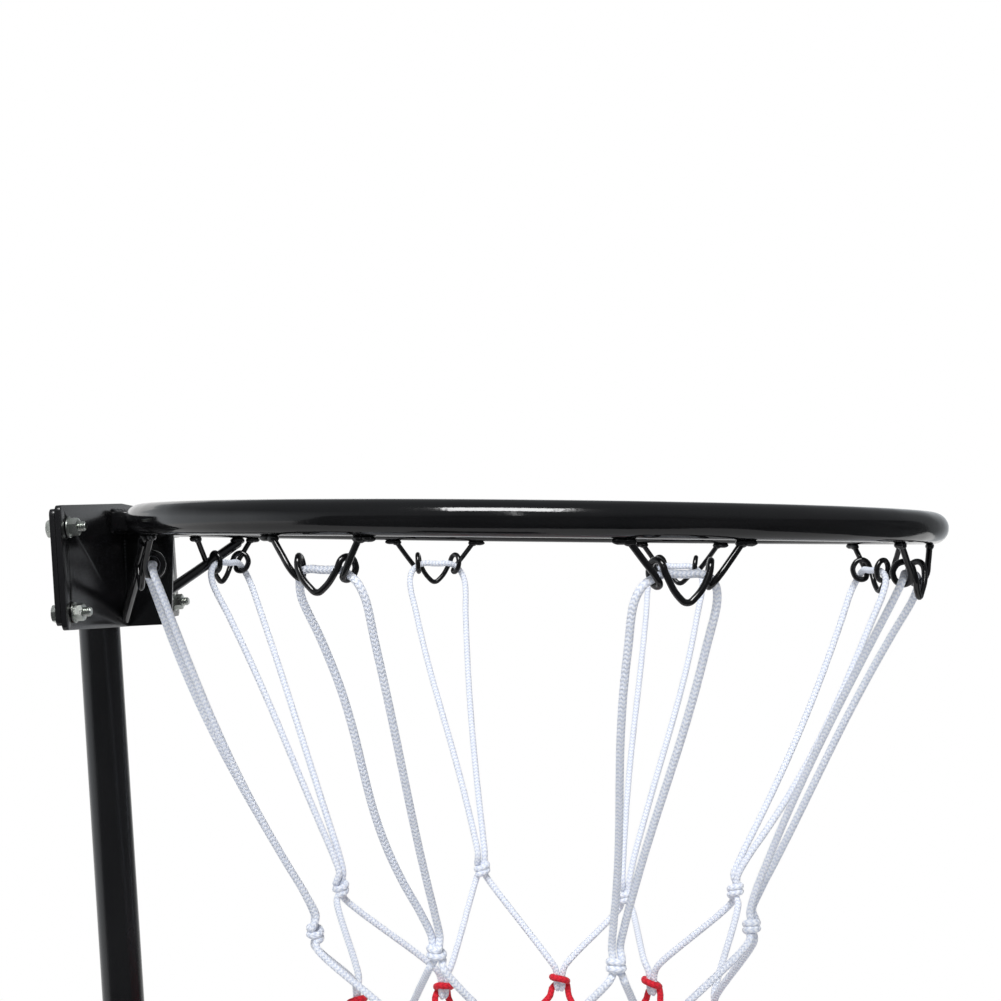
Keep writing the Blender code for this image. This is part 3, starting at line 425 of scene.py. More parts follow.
def makeWeb():
    # the upright plate under the tongue, from the front plate to the ring's inner side
    thick, front, under, slope, sink = hoop["web"].values()
    piece = started(bpy.ops.mesh.primitive_plane_add, size=1,
                    location=(-thick / 2, front / 2 - sink, under / 2))
    piece.rotation_euler = (0, pi / 2, 0)
    piece.scale = (-under, -front - 2 * sink, 1)
    put(piece)
    for end, move in ((-1, -front * tan(radians(slope))), (1, -hoop["tubeRadius"] * 0.55)):
        shift(piece, (0, 0, move),
              lambda v: v.co.y < front / 2 and (v.co.z - under / 2) * end > 0)
    selectWhere(piece, lambda f: True, "FACE")
    bpy.ops.mesh.extrude_region_move(TRANSFORM_OT_translate={"value": (thick, 0, 0)})
    roundEdges(closeUp(piece), 0.0005)
    beads = []
    for side in (-1, 1):
        x = side * (thick / 2 + 0.0004)
        for path, radius in (
                (mm((-1.8, -6.8), (-5.2, -6.8), (-14, -7.2), (-18.5, -8.8), (-24, -9),
                    (-28.5, -7)), 0.0014),
                (mm((-1.7, -9), (-4.2, -52)), 0.0013)):
            beads.append(weldBead([(x, y, z) for y, z in path], radius))
    return joined(piece, *beads)


def makeTongue():
    wide, deep, tall = hoop["tongue"]
    block = boxShape((wide, deep, tall), (0, -deep / 2 - 0.0012, 0), 0.0014, 3)
    seat = hoop["ringRadius"] + hoop["tubeRadius"] - 0.0022
    beads = []
    for side in (-1, 1):
        beads.append(weldBead([
            (x, sqrt(seat ** 2 - x * x) - hoop["reach"], side * tall / 2)
            for x in (wide / 2 * (step / 4 - 1) for step in range(9))], 0.0019))
        beads.append(weldBead([(x, -0.002, side * (tall / 2 + 0.0002))
                               for x in (-wide / 2, wide / 2)], 0.0014))
    piece = put(joined(block, makeWeb(), *beads), hoopFrame)
    dress(piece, "ringTongue", "top_mast", "rim_stub", "glossBlackCoat", 40)


def makeBraces():
    angle, radius = radians(hoop["braceAngle"]), hoop["braceRadius"]
    for side, label in ((-1, "left"), (1, "right")):
        foot = Vector(hoop["braceFoot"])
        foot.x *= side
        head = Vector((side * hoop["ringRadius"] * sin(angle),
                       hoop["ringRadius"] * cos(angle) - hoop["reach"],
                       -hoop["tubeRadius"] - radius))
        rod = wireShape([foot, foot.lerp(head, 0.5), head], radius, 4, 6)
        turn = atan2(head.y - foot.y, head.x - foot.x)
        lumps = [weldLump(head + Vector((0, 0, 0.0016)), (0.014, 0.008, 0.0056), turn, 3),
                 weldLump(foot + Vector((0, 0.0006, 0.0004)), (0.007, 0.0066, 0.0085), 0, 4)]
        dress(put(joined(rod, *lumps), hoopFrame), "brace" + label.title(), "top_mast",
              "brace_rod_" + label, "glossBlackCoat", 50)


makeRing()
makeTongue()
makeBraces()
print("ring, tongue and braces made")


# net hooks, bent from wire

hooks = {
    "wire": 0.00175,
    "half": 0.03,
    "top": 0.0102,
    "curl": 0.0104,
    # each bent a little otherwise: both welds from the middle, depth of trough and point
    "bends": mm((28.4, 29.0, 22.6, 29.6), (27.2, 22.5, 21.0, 27.6), (28.6, 28.6, 22.5, 30.2),
                (29.0, 28.0, 22.0, 29.0), (28.2, 28.8, 22.8, 29.8), (28.8, 27.8, 22.2, 28.8),
                (28.0, 29.0, 22.6, 30.0), (28.7, 28.3, 22.1, 29.2)),
}


def hookSide(weldAt, trough, point):
    half, top, curl = hooks["half"], hooks["top"], hooks["curl"]
    weldIn = hoop["ringRadius"] - sqrt(hoop["ringRadius"] ** 2 - weldAt ** 2)
    return [
        (weldAt, 0.002, weldIn), (weldAt * 0.5 + half * 0.26, trough * 0.46, weldIn * 0.5),
        (half * 0.52, trough * 0.82, 0.0006), (half * 0.44, trough * 0.97, curl * 0.26),
        (half * 0.465, trough * 0.985, curl * 0.7), (half * 0.51, trough * 0.8, curl * 0.98),
        (half * 0.515, top * 1.35, curl * 0.95), (half * 0.49, top, curl * 0.6),
        (half * 0.43, top * 1.08, curl * 0.2), (half * 0.37, top * 1.62, 0),
        (half * 0.13, point * 0.925, 0), (0, point, 0),
    ]


def hookPath(weldRight, weldLeft, trough, point):
    both = hookSide(weldRight, trough, point)
    both += [(-x, down, inward) for x, down, inward in hookSide(weldLeft, trough, point)[-2::-1]]
    return [(x, -inward, -hoop["tubeRadius"] - down) for x, down, inward in both]


def makeHooks():
    for number, bend in enumerate(hooks["bends"]):
        path = hookPath(*bend)
        piece = wireShape(path, hooks["wire"], 3, 7)
        for end, side in ((0, 1), (-1, -1)):
            for out, size in ((0.0004, (0.0078, 0.005, 0.0046)),
                              (0.005, (0.0094, 0.0042, 0.0036))):
                place = Vector(path[end]) + Vector((side * out, -out * 0.12, 0.0006 + out * 0.05))
                lump = weldLump(place, size, -0.12 * side, 5 + number + (3 if side > 0 else 0))
                piece = joined(piece, lump)
        angle = radians(22.5 + 45 * number)
        out = Vector((-sin(angle), cos(angle), 0)) * hoop["ringRadius"]
        dress(put(piece, netFrame @ at(*out) @ spin(angle)), f"netHook{number + 1}", "top_mast",
              f"net_hook_{number + 1}", "glossBlackCoat", 60)


makeHooks()
print("net hooks made")


# net: braided cord in three colours, knotted

net = {
    "cord": 0.0042,
    "sides": 12,
    "step": 0.0016,
    "rows": mm((132, 235), (101, 288), (92, 347), (89, 402), (93, 449)),    # radius and drop
    "slack": 0.04,             # the drop that hangs even, and the one that stray places fade over
    "lean": 0.022,             # how far the net hangs to the front, as a share of its drop
    # how far the knots of the first two rows hang from their even place, along Y and Z, by slot
    "astray": mm((9.8, 5.0), (3.7, -2.8), (3.0, 2.0), (-5.2, 4.0), (-2.0, -3.0), (0, 0.5),
                 (1.0, 1.0), (-3.0, 8.5), (-4.0, 3.0), (2.2, 9.5), (4.5, 4.1), (0.3, -10.5),
                 (-6.3, -2.8), (-3.8, 5.5), (-4.6, -2.9), (7.9, 3.8)),
    "neckDrop": 0.0099,        # from where cords meet to the next colour's first knot
    "wrap": 0.0036,            # the radius that a cord takes round a knot's middle
    # each loop's two cords: where it leaves the hook as a share of half the hook, then in mm
    # how far it bows aside and how far it sways; last, how far both bow outward
    "bows": [((0.69, 2, 1), (0.69, 2, -1), 7.5), ((0.5, 0, -3.8), (0.74, 3, 1), 4),
             ((0.79, 3, 2), (0.64, -1, 1), 4), ((0.69, 2, 1), (0.69, 4, -1.2), -3),
             ((0.69, 3, -1), (0.69, 4, 0.8), 6.5), ((0.69, 2, 1), (0.69, 3, -1), 4),
             ((0.69, -1, 0), (0.69, -1, 1), 4), ((0.69, -1, 1), (0.69, -1, -0.5), -0.5)],
}


first, second, third, fourth, fifth = net["rows"]


def onNet(slot, along, radius, drop):
    # a point at a slot of the net: 16 slots, the odd ones under the hooks
    angle, slack = slot * pi / 8, net["slack"]
    low = max(0.0, drop - slack)
    home = net["rows"][(slot + 1) % 2][1]
    share = min(1.0, max(0.0, 1.4 - abs(drop - home) / slack))
    if slot % 2 and drop < home:
        share = (low / (home - slack)) ** 1.5
    aside, lift = net["astray"][slot % 16]
    return Vector((-along * cos(angle) - radius * sin(angle),
                   -along * sin(angle) + radius * cos(angle) - low * net["lean"] + aside * share,
                   -drop + lift * share))


def smoothPath(points, step):
    # an even walk along a centripetal curve through the points
    path = [Vector(p) for p in points]
    path = [path[0] * 2 - path[1]] + path + [path[-1] * 2 - path[-2]]
    dense = []
    for p0, p1, p2, p3 in zip(path, path[1:], path[2:], path[3:]):
        t1 = (p1 - p0).length ** 0.5 + 1e-9
        t2 = t1 + (p2 - p1).length ** 0.5 + 1e-9
        t3 = t2 + (p3 - p2).length ** 0.5 + 1e-9
        count = max(2, int((p2 - p1).length / step))
        for number in range(count):
            t = t1 + (t2 - t1) * number / count
            share = (t - t1) / (t2 - t1)
            a1, a2, a3 = p0.lerp(p1, t / t1), p1.lerp(p2, share), p2.lerp(p3, (t - t2) / (t3 - t2))
            b1, b2 = a1.lerp(a2, t / t2), a2.lerp(a3, (t - t1) / (t3 - t1))
            dense.append(b1.lerp(b2, share))
    dense.append(path[-2])
    return dense


def layCord(mesh, points, length):
    # a round cord swept along a smooth path, its ends rounded, with u round it and v along it
    uv = mesh.loops.layers.uv.verify()
    path = smoothPath(points, net["step"])
    sides, last = net["sides"], len(path) - 1
    across = Vector((0.31, 0.23, 0.92))
    rings, lengths = [], []
    for number, point in enumerate(path):
        along = (path[min(number + 1, last)] - path[max(number - 1, 0)]).normalized()
        across = (across - along * across.dot(along)).normalized()
        beside = along.cross(across)
        if number:
            length += (point - path[number - 1]).length
        end = min(number, last - number)
        thick = net["cord"] / 2 * ((0.45, 0.86)[end] if end < 2 else 1)
        rings.append([mesh.verts.new(point + (across * cos(a) + beside * sin(a)) * thick)
                      for a in (tau * k / sides for k in range(sides))])
        lengths.append(length)
    for n in range(last):
        for k in range(sides):
            corners = ((n, k), (n, k + 1), (n + 1, k + 1), (n + 1, k))
            face = mesh.faces.new([rings[step][turn % sides] for step, turn in corners])
            face.smooth = True
            for loop, (step, turn) in zip(face.loops, corners):
                loop[uv].uv = (turn / sides, lengths[step])
    for ring, length in ((rings[0][::-1], lengths[0]), (rings[-1], lengths[-1])):
        for loop in mesh.faces.new(ring).loops:
            loop[uv].uv = (0.5, length)


def onRow(slot, row, way):
    # points given by how far aside, outward and down they lie from a row's even place
    return [onNet(slot, x, row[0] + out, row[1] + down) for x, out, down in way]


def knotPoints(slot, row, side):
    # one cord's way down through an overhand knot; the right one winds twice round the other
    if side < 0:
        return onRow(slot, row, mm((-2.4, 0.2, -9), (-2, 0.4, -5), (-1, 0, 0), (-1.8, -0.4, 4),
                                   (-4, 0, 7.6)))
    turn = net["wrap"]
    way = mm((2.4, 0, -9.5), (2.6, 1, -5.8))
    for step in range(1, 16):
        angle = tau * step / 8
        way.append((turn * cos(angle), turn * sin(angle) * 0.9,
                    -0.0036 + 0.0072 * step / 16 + 0.0008 * cos(angle)))
    return onRow(slot, row, way + mm((3.2, -0.4, 4.6), (4.4, 0, 8)))


def loopPoints(slot):
    # over the two curls of a hook and down both sides to the first knot
    half, under, ring = hooks["half"], hoop["tubeRadius"], hoop["ringRadius"]
    left, right, outward = net["bows"][slot // 2]
    end = Vector((0.0024, first[0], first[1] - 0.012))
    sides = []
    for sign, (leave, bow, sway) in ((-1, left), (1, right)):
        side = [(half * share, ring - inward, under + down) for share, inward, down in (
            (0.1, 0.0062, 0.0166), (0.27, 0.006, 0.0163), (0.46, 0.005, 0.018),
            (leave * 0.75 + 0.09, 0.0054, 0.0222), (leave, 0.0085, 0.03))]
        top = Vector(side[-1])
        for share in (0.12, 0.25, 0.38, 0.5, 0.62, 0.74, 0.85, 0.94):
            arch, wave = sin(pi * share), sway * sin(tau * share)
            x, radius, drop = top.lerp(end, share)
            side.append((x + (bow * arch + wave) / 1000,
                         radius + (outward * arch + wave * 0.5) / 1000, drop))
        sides.append([onNet(slot, sign * x, radius, drop) for x, radius, drop in side])
    return sides


def meetPoints(slot, row, side):
    # where a cord from one side meets its neighbour and both go down into the next colour
    return onRow(slot, row, [(side * x, 0, down) for x, down in mm(
        (6.4, -6.2), (2.8, -0.8), (1.9, 4), (1.9, 9), (1.2, 14))])


def tailPoints(slot, row, side):
    return onRow(slot, row, mm((side * 4.6, 0.8, 12.5), (side * 5.2, 1.2, 15.5)))


def collarPoints(slot, row):
    # a cord of the next colour: up from the left, round the two ends and down to the right
    way = mm((-6.2, 1, 7.5), (-5.2, 2.4, 3.2))
    for step in range(13):
        angle = radians(150 - step * 35)
        sag = 0.0048 * sin(pi * step / 12) ** 2 * (1 if step < 6 else 0.9)
        way.append((0.005 * cos(angle), 0.0046 * sin(angle), -0.001 - sag))
    return onRow(slot, (row[0], row[1] + net["neckDrop"]),
                 way + mm((5.4, 2.2, 3.2), (6.2, 1, 7.5)))


def whiteWay(slot):
    left, right = loopPoints(slot)
    return (meetPoints(slot - 1, second, 1)[::-1] + knotPoints(slot, first, -1)[::-1]
            + left[::-1] + right + knotPoints(slot, first, 1) + meetPoints(slot + 1, second, -1))


def lowerWay(slot, neck, knots, leftEnd, rightEnd):
    # round the neck of two upper cords, and down through a knot on either side
    return (leftEnd[::-1] + knotPoints(slot - 1, knots, 1)[::-1] + collarPoints(slot, neck)
            + knotPoints(slot + 1, knots, -1) + rightEnd)


def makeNet(colour, start, stagger, way):
    # a cord at every second slot, with its braid begun a little further on each time
    name = "net" + colour.title()
    mesh = bmesh.new()
    for slot in range(start, 16, 2):
        layCord(mesh, way(slot), slot * stagger)
    data = bpy.data.meshes.new(name)
    mesh.to_mesh(data)
    mesh.free()
    piece = bpy.data.objects.new(name, data)
    bpy.context.scene.collection.objects.link(piece)
    dress(put(piece, netFrame), name, "top_mast", "net_" + colour, colour + "Braid", 0)


makeNet("white", 1, 0.0007, whiteWay)
makeNet("red", 0, 0.0009, lambda slot: lowerWay(
    slot, second, third, meetPoints(slot, fourth, -1), meetPoints(slot, fourth, 1)))
makeNet("blue", 0, 0.0011, lambda slot: lowerWay(
    slot, fourth, fifth, tailPoints(slot - 1, fifth, 1), tailPoints(slot + 1, fifth, -1)))
print("net made")


# plates and their bolts

bracket = {
    "wide": 0.224,
    "thick": 0.003,
    "corner": 0.0035,
    # the face's y, then the plate's heights in the middle and at its ends
    "frontPlate": (-0.0191, (2.085, 2.1612), (2.0876, 2.1573)),
    "rearPlate": (-0.0158, (2.088, 2.16), (2.0903, 2.1555)),
    "holes": [(x, z) for z in (2.145, 2.0971) for x in (-0.1, 0.1)],
    "hole": 0.0033,
    "boltSeat": -0.0125,
    "nutSeat": -0.0194,
}


def makePlate(name, node):
    wide, thick = bracket["wide"], bracket["thick"]
    front, (low, high), (lowEnd, highEnd) = bracket[name]
    middle = front + thick / 2
    piece = started(bpy.ops.mesh.primitive_cube_add, size=1,
                    location=(0, middle, (low + high) / 2))
    piece.scale = (wide, thick, high - low)
    put(piece)
    # both ends drawn in, from the full height in the middle
    selectWhere(piece, lambda e: abs(e.verts[0].co.x - e.verts[1].co.x) > wide / 2, "EDGE")
    bpy.ops.mesh.subdivide(number_cuts=1)
    for level, end in ((low, lowEnd), (high, highEnd)):
        shift(piece, (0, 0, end - level),
              lambda v: abs(v.co.x) > wide / 4 and abs(v.co.z - level) < 0.0001)
    selectWhere(piece, lambda e: abs(e.verts[0].co.y - e.verts[1].co.y) > thick / 2
                and abs(e.verts[0].co.x) > wide / 4, "EDGE")
    bpy.ops.mesh.bevel(offset=bracket["corner"], segments=6, affect="EDGES")
    for x, z in bracket["holes"]:
        drill(piece, bracket["hole"], -0.004, 0.004, turnTo((0, 1, 0), (x, middle, z)))
    dress(roundEdges(piece, 0.0004), name, "top_mast", node, "satinBlackCoat", 30)


plateBolt = {"thread": 0.0056, "across": 0.009, "washer": 0.0059, "washerThick": 0.0012,
             "head": 0.0038, "nut": 0.0048, "pitch": 0.001, "grip": 0.0045, "reach": 0.017}
strutBolt = {"thread": 0.008, "across": 0.0134, "washer": 0.008, "washerThick": 0.0014,
             "head": 0.0052, "nut": 0.0064, "pitch": 0.00125, "grip": 0.02, "reach": 0.063}
footBolt = {**strutBolt, "grip": 0.012, "reach": 0.039}


def washerShape(size):
    outer, inner, thick = size["washer"], size["thread"] / 2 + 0.0003, size["washerThick"]
    return turnedShape([(inner, 0), (outer - 0.0002, 0), (outer, 0.0003), (outer, thick - 0.0002),
                        (outer - 0.0003, thick), (inner, thick)], 40, hollow=True)


def hexShape(across, low, high, bore=0.0):
    # six flats with their corners turned off at the top, and at the bottom of a nut
    corner, slope, flat = across / sqrt(3), across * 0.1, across * 0.49
    piece = put(started(bpy.ops.mesh.primitive_cylinder_add, vertices=6, radius=corner,
                        depth=high - low, location=(0, 0, (low + high) / 2),
                        rotation=(0, 0, pi / 6)))
    wide = corner + 0.001
    lower = [(wide, low + slope), (flat, low - 0.0001)] if bore else [(wide, low - 0.001)]
    cone = turnedShape([(flat, high + 0.0001), (wide, high - slope)] + lower)
    cutAway(piece, cone, way="INTERSECT")
    if bore:
        drill(piece, bore, low - 0.002, high + 0.002)
    return piece


def threadShape(radius, low, high, pitch, sides=28):
    # ridges as deep as the thread between two heights, with a chamfered end
    deep = pitch * 0.45
    profile = [(radius, low)]
    height = low
    while height + pitch < high - pitch * 0.5:
        profile += [(radius - deep, height + pitch * 0.45), (radius - deep, height + pitch * 0.55),
                    (radius, height + pitch * 0.95), (radius, height + pitch)]
        height += pitch
    profile += [(radius - deep, height + pitch * 0.3), (radius - deep * 1.6, high)]
    return turnedShape(profile, sides)


def boltShape(size):
    # seat at z = 0, head above, shank and thread below
    radius, thick = size["thread"] / 2, size["washerThick"]
    crown = hexShape(size["across"], thick, thick + size["head"])
    shank = rodShape(radius, -size["grip"], thick + 0.0002, 32, 0.0001)
    thread = threadShape(radius, size["grip"] - 0.0005, size["reach"], size["pitch"])
    return joined(crown, washerShape(size), shank, put(thread, spin(pi, "X")))


def nutShape(size):
    thick = size["washerThick"]
    nut = hexShape(size["across"], thick, thick + size["nut"], size["thread"] / 2 + 0.00005)
    return joined(nut, washerShape(size))


def makePlateBolts():
    for number, (x, z) in enumerate(bracket["holes"], 1):
        for kind, shape, way in (("bolt", boltShape, 1), ("nut", nutShape, -1)):
            seat = turnTo((0, way, 0), (x, bracket[kind + "Seat"], z))
            dress(put(shape(plateBolt), seat @ spin(0.5 + 1.3 * number)),
                  f"plate{kind.title()}{number}", "top_mast", f"plate_{kind}_{number}",
                  "zincPlating", 30)


makePlate("frontPlate", "rim_plate")
makePlate("rearPlate", "post_plate")
makePlateBolts()
print("plates and bolts made")


# post: three tubes, one inside the next, and the cap in the top

post = {
    # outer radius, then the lower and the upper end
    "lowTube": (0.019, 0.0123, 1.0623),
    "midTube": (0.016, 0.4623, 1.5123),
    "topTube": (0.0125, 0.9123, 2.154),
    "wall": 0.0015,
    # radius and height of the holes across
    "crossHole": (0.0043, 0.455),
    "rivetHole": (0.0028, 0.9065),
    "cap": mm((10, -15), (10.7, -14.3), (10.7, 0.3), (12.1, 0.3), (12.5, 0.6), (12.5, 1.3),
              (12.1, 2), (10.8, 2.6), (8, 3), (3, 3.1)),
}


def makeTube(name, node, body, hole=None):
    outer, low, high = post[name]
    inner, edge = outer - post["wall"], 0.0004
    tube = turnedShape([
        (inner, low + edge), (inner + edge, low), (outer - edge, low), (outer, low + edge),
        (outer, high - edge), (outer - edge, high), (inner + edge, high), (inner, high - edge)],
        72, hollow=True)
    if hole:
        radius, height = post[hole]
        drill(tube, radius, -0.03, 0.03, turnTo((1, 0, 0), (0, 0, height)))
    dress(tube, name, body, node, "satinBlackCoat", 40)


makeTube("topTube", "top_tube", "top_mast")
makeTube("midTube", "mid_tube", "mid_mast", "rivetHole")
makeTube("lowTube", "low_tube", "base", "crossHole")
dress(put(turnedShape(post["cap"], 64), at(0, 0, post["topTube"][2])), "postCap", "top_mast",
      "top_end_cap", "blackKnobPlastic", 40)
print("post made")


# clamps: a collar, a screw and a lobed knob where each tube slides in the next

clamps = {
    # the outer tube's end, the outer and inner tubes, and the bodies of collar and knob
    "low": (1.0623, 0.019, 0.016, "base", "low_knob"),
    "mid": (1.5123, 0.016, 0.0125, "mid_mast", "mid_knob"),
    "gap": 0.0003,
    "wall": 0.004,
    "grip": 0.045,
    "guide": 0.034,
    "bossReach": 0.014,
    "screw": 0.004,
    "proud": 0.008,
    "ribs": 12,
    # the gussets under the boss: thickness, height, how far below and how far it slopes
    "gusset": (0.0026, 0.003, 0.0118, 0.0085),
}


def collarShape(outer, inner):
    gap, wall, grip, guide, reach = (
        clamps[key] for key in ("gap", "wall", "grip", "guide", "bossReach"))
    sleeve, bore = outer + gap, inner + gap
    side, neck = sleeve + wall, bore + wall
    body = turnedShape([
        (sleeve + 0.0005, -grip), (side + 0.0009, -grip), (side + 0.0015, 0.0006 - grip),
        (side + 0.0015, 0.0026 - grip), (side + 0.0004, 0.0046 - grip), (side, 0.006 - grip),
        (side, guide * 0.7), (side - 0.0006, guide * 0.76), (neck + 0.0008, guide * 0.93),
        (neck, guide * 0.97), (neck - 0.001, guide), (bore + 0.0008, guide),
        (bore, guide - 0.0008), (bore, gap), (sleeve, gap), (sleeve, 0.0005 - grip)],
        72, hollow=True)
    middle, end = guide / 2, side + reach
    boss = turnedShape([
        (0.015, bore + 0.001), (0.0132, side + 0.0006), (0.012, side + 0.0028),
        (0.0113, side + 0.006), (0.011, end - 0.0014), (0.0106, end - 0.0004), (0.0098, end)], 56)
    across = turnTo((0, 1, 0), (0, 0, middle))
    put(boss, across)
    for part in (body, boss):
        drill(part, clamps["screw"] + gap, 0.002, end + 0.01, across)
    ribs = around(clamps["ribs"], lambda: boxShape(
        (0.0024, 0.0026, grip - 0.012), (0, side, -grip / 2 + 0.001), 0.001, 3), 0.5)
    thick, tall, below, slope = clamps["gusset"]
    for x in (-0.0045, 0.0045):
        gusset = boxShape((thick, reach - 0.002, tall),
                          (0, end - reach / 2 - 0.002, middle - below), 0.0008)
        shift(gusset, (0, 0, -slope), lambda v: v.co.y < end - 0.008 and v.co.z < middle - below)
        ribs.append(put(gusset, at(x, 0, 0.0008)))
    return joined(body, boss, *ribs)


def knobShape():
    # a turned disc with six scoops for the fingers, a dished face and a hub
    grip = turnedShape(mm((17, 0), (20.5, 0.6), (22.3, 2), (23, 4.4), (23, 12.8), (22.6, 15),
                          (21.4, 16.8), (19.6, 17.7), (17, 18)), 120)
    cutAway(grip, *around(6, lambda: rodShape(0.0112, -0.02, 0.04, 56), 0.5, 0.0292))
    roundEdges(grip, 0.0013, 4, 40)
    cutAway(grip, turnedShape(mm((10.2, 16.2), (11.2, 17.1), (11.8, 20)), 72))
    button = turnedShape(mm((7, 15.8), (7, 17), (6.4, 17.6), (5, 17.9)), 56)
    hub = turnedShape(mm((7.2, -3), (7.9, -2.4), (7.9, 1), (8.8, 3)), 56)
    for part in (grip, hub):
        drill(part, clamps["screw"] + clamps["gap"], -0.004, 0.01)
    return joined(grip, button, hub)


def makeClamps():
    for label in ("low", "mid"):
        top, outer, inner, collarBody, knobBody = clamps[label]
        face = outer + sum(clamps[key] for key in ("gap", "wall", "bossReach", "proud"))
        height = top + clamps["guide"] / 2
        for part, shape, matrix, body, coat, smooth in (
                ("collar", collarShape(outer, inner), at(0, 0, top), collarBody,
                 "blackMouldedPlastic", 35),
                ("screw", threadShape(clamps["screw"], inner + 0.0036, face + 0.0097, 0.00125, 32),
                 turnTo((0, 1, 0), (0, 0, height)), knobBody, "zincPlating", 30),
                ("knob", knobShape(), turnTo((0, 1, 0), (0, face, height)), knobBody,
                 "blackKnobPlastic", 35)):
            dress(put(shape, matrix), f"clamp{label.title()}{part.title()}", body,
                  f"clamp_{part}_{label}", coat, smooth)


makeClamps()
print("clamps made")


# base tank, blow moulded

tank = {
    "wide": 0.52, "front": -0.14, "rear": 0.6, "corner": 0.085,
    "height": 0.142,
    # how far each section is drawn in, by height
    "upper": mm((45, 1.6), (71.5, 3.4), (80, 4), (93, 6.2), (104, 9), (114, 13), (123, 18),
                (129.5, 23.6), (135, 30), (138.8, 37.2), (141.2, 44), (142, 51)),
    "widest": 0.01,
    "lower": mm((5.5, 0.9), (3, 2.4), (0.8, 5.2), (0, 9)),
    "grooves": (0.15, 0.225, 0.3),
    "groove": (0.013, 0.13, 0.007),        # radius, half length and depth
    "filler": 0.5,
    "well": 0.039, "wellDeep": 0.012, "neck": 0.024, "mouth": 0.019, "mouthDeep": 0.034,
    "arch": (0.2, 0.06),                 # its inner side, and its radius round the axle
    "axle": (-0.098, 0.057), "axleHole": 0.0053,
    "postHole": 0.0193, "postFloor": 0.012, "sleeveHole": 0.0226, "sleeveDeep": 0.0403,
    "sleeve": mm((19.3, 171.4), (19.9, 172), (21.8, 172), (22.5, 171.3), (23.6, 168.6),
                 (24.5, 160), (25.3, 153), (26.8, 149.2), (29.6, 147), (35, 146.2),
                 (41.8, 145.6), (43, 144.6), (43.3, 143), (43.3, 142.3), (22.3, 142.3),
                 (22.3, 102.6), (21.7, 102), (19.9, 102), (19.3, 102.6)),
}


def tankBody():
    # the widest outline, then each section above and below it, drawn in a little more
    front, rear, widest = tank["front"], tank["rear"], tank["widest"]
    body = started(bpy.ops.mesh.primitive_plane_add, size=1,
                   location=(0, (rear + front) / 2, widest))
    body.scale = (tank["wide"], rear - front, 1)
    selectWhere(put(body), lambda v: True)
    bpy.ops.mesh.bevel(offset=tank["corner"], segments=18, affect="VERTICES")
    for sections, way in ((tank["upper"], 1), (tank["lower"], -1)):
        height, drawn = widest, 0.0
        if way < 0:
            closeUp(body)
        selectWhere(body, lambda f: len(f.verts) > 20 and f.normal.z * way > 0.9, "FACE")
        for nextHeight, nextDrawn in sections:
            bpy.ops.mesh.inset(thickness=nextDrawn - drawn, depth=abs(nextHeight - height))
            height, drawn = nextHeight, nextDrawn
    return closeUp(body)


def archCutters(side):
    # the space of a wheel: round behind, open to the front, the side and below
    (inside, reach), (y, z) = tank["arch"], tank["axle"]
    half, under = 0.1, 0.05        # half the cutters' width, and how far below the floor they go
    middle, deep = side * (inside + half), half + reach
    behind = put(rodShape(reach, -half, half, 96, 0.0002), turnTo((1, 0, 0), (middle, y, z)))
    front = boxShape((2 * half, 2 * half, reach + z + under),
                     (middle, y - half, (reach + z - under) / 2), 0.0002, 1)
    below = boxShape((2 * half, deep, z + under), (middle, y + reach - deep / 2, (z - under) / 2),
                     0.0002, 1)
    return behind, front, below


def makeTank():
    body = tankBody()
    for side in (-1, 1):
        cutAway(body, *archCutters(side))
    height = tank["height"]
    radius, half, deep = tank["groove"]
    for y in tank["grooves"]:
        ends = [(radius * sin(a), half + radius * cos(a))
                for a in (radians(12 + 13 * step) for step in range(7))]
        shape = turnedShape([(r, -h) for r, h in ends] + [(r, h) for r, h in ends[::-1]], 56)
        cutAway(body, put(shape, turnTo((1, 0, 0), (0, y, height + radius - deep))))
    top, low, filler = height + 0.004, height - tank["wellDeep"], at(0, tank["filler"], 0)
    well = turnedShape([(tank["neck"], top), (tank["well"], top), (tank["well"], low),
                        (tank["neck"], low)], 72, hollow=True)
    cutAway(body, put(well, filler))
    drill(body, tank["mouth"], height - tank["mouthDeep"], top, filler, 64)
    drill(body, tank["postHole"], tank["postFloor"], top, sides=64)
    drill(body, tank["sleeveHole"], height - tank["sleeveDeep"], top, sides=64)
    drill(body, tank["axleHole"], -0.3, 0.3, turnTo((1, 0, 0), (0, *tank["axle"])))
    roundEdges(body, 0.0016, 3, 38)
    dress(body, "baseTank", "base", "base_tank", "blackMouldedPlastic", 40)


def sleeveGusset():
    rib = boxShape((0.0022, 0.015, 0.019), (0, 0.032, 0.155), 0.0006)
    shift(rib, (0, -0.012, 0), lambda v: v.co.y > 0.032 and v.co.z > 0.155)
    return rib


def makeSleeve():
    # the moulded ring round the post's foot, with small gussets
    ring = turnedShape(tank["sleeve"], 72, hollow=True)
    dress(joined(ring, *around(8, sleeveGusset, 0.5)), "postSleeve", "base", "post_sleeve",
          "greyMouldedPlastic", 40)


def makeFillerCap():
    cap = turnedShape(mm((27.4, -10), (28.1, -9.4), (28.1, 3.4), (27.6, 4.8), (26.4, 5.8),
                         (24.5, 6.1), (12, 6.1)), 96)
    drill(cap, 0.0243, -0.03, 0.0026, sides=64, chamfer=0.0002)
    bar = boxShape((0.0388, 0.008, 0.0104), (0, 0, 0.0089), 0.0028, 4)
    ribs = around(32, lambda: rodShape(0.0011, -0.0092, 0.0028, 10), 0, 0.028)
    dress(put(joined(cap, bar, *ribs), at(0, tank["filler"], tank["height"])), "fillerCap", "cap",
          "filler_cap", "blackKnobPlastic", 35)


makeTank()
makeSleeve()
makeFillerCap()
print("tank, sleeve and cap made")


# wheels on their axle

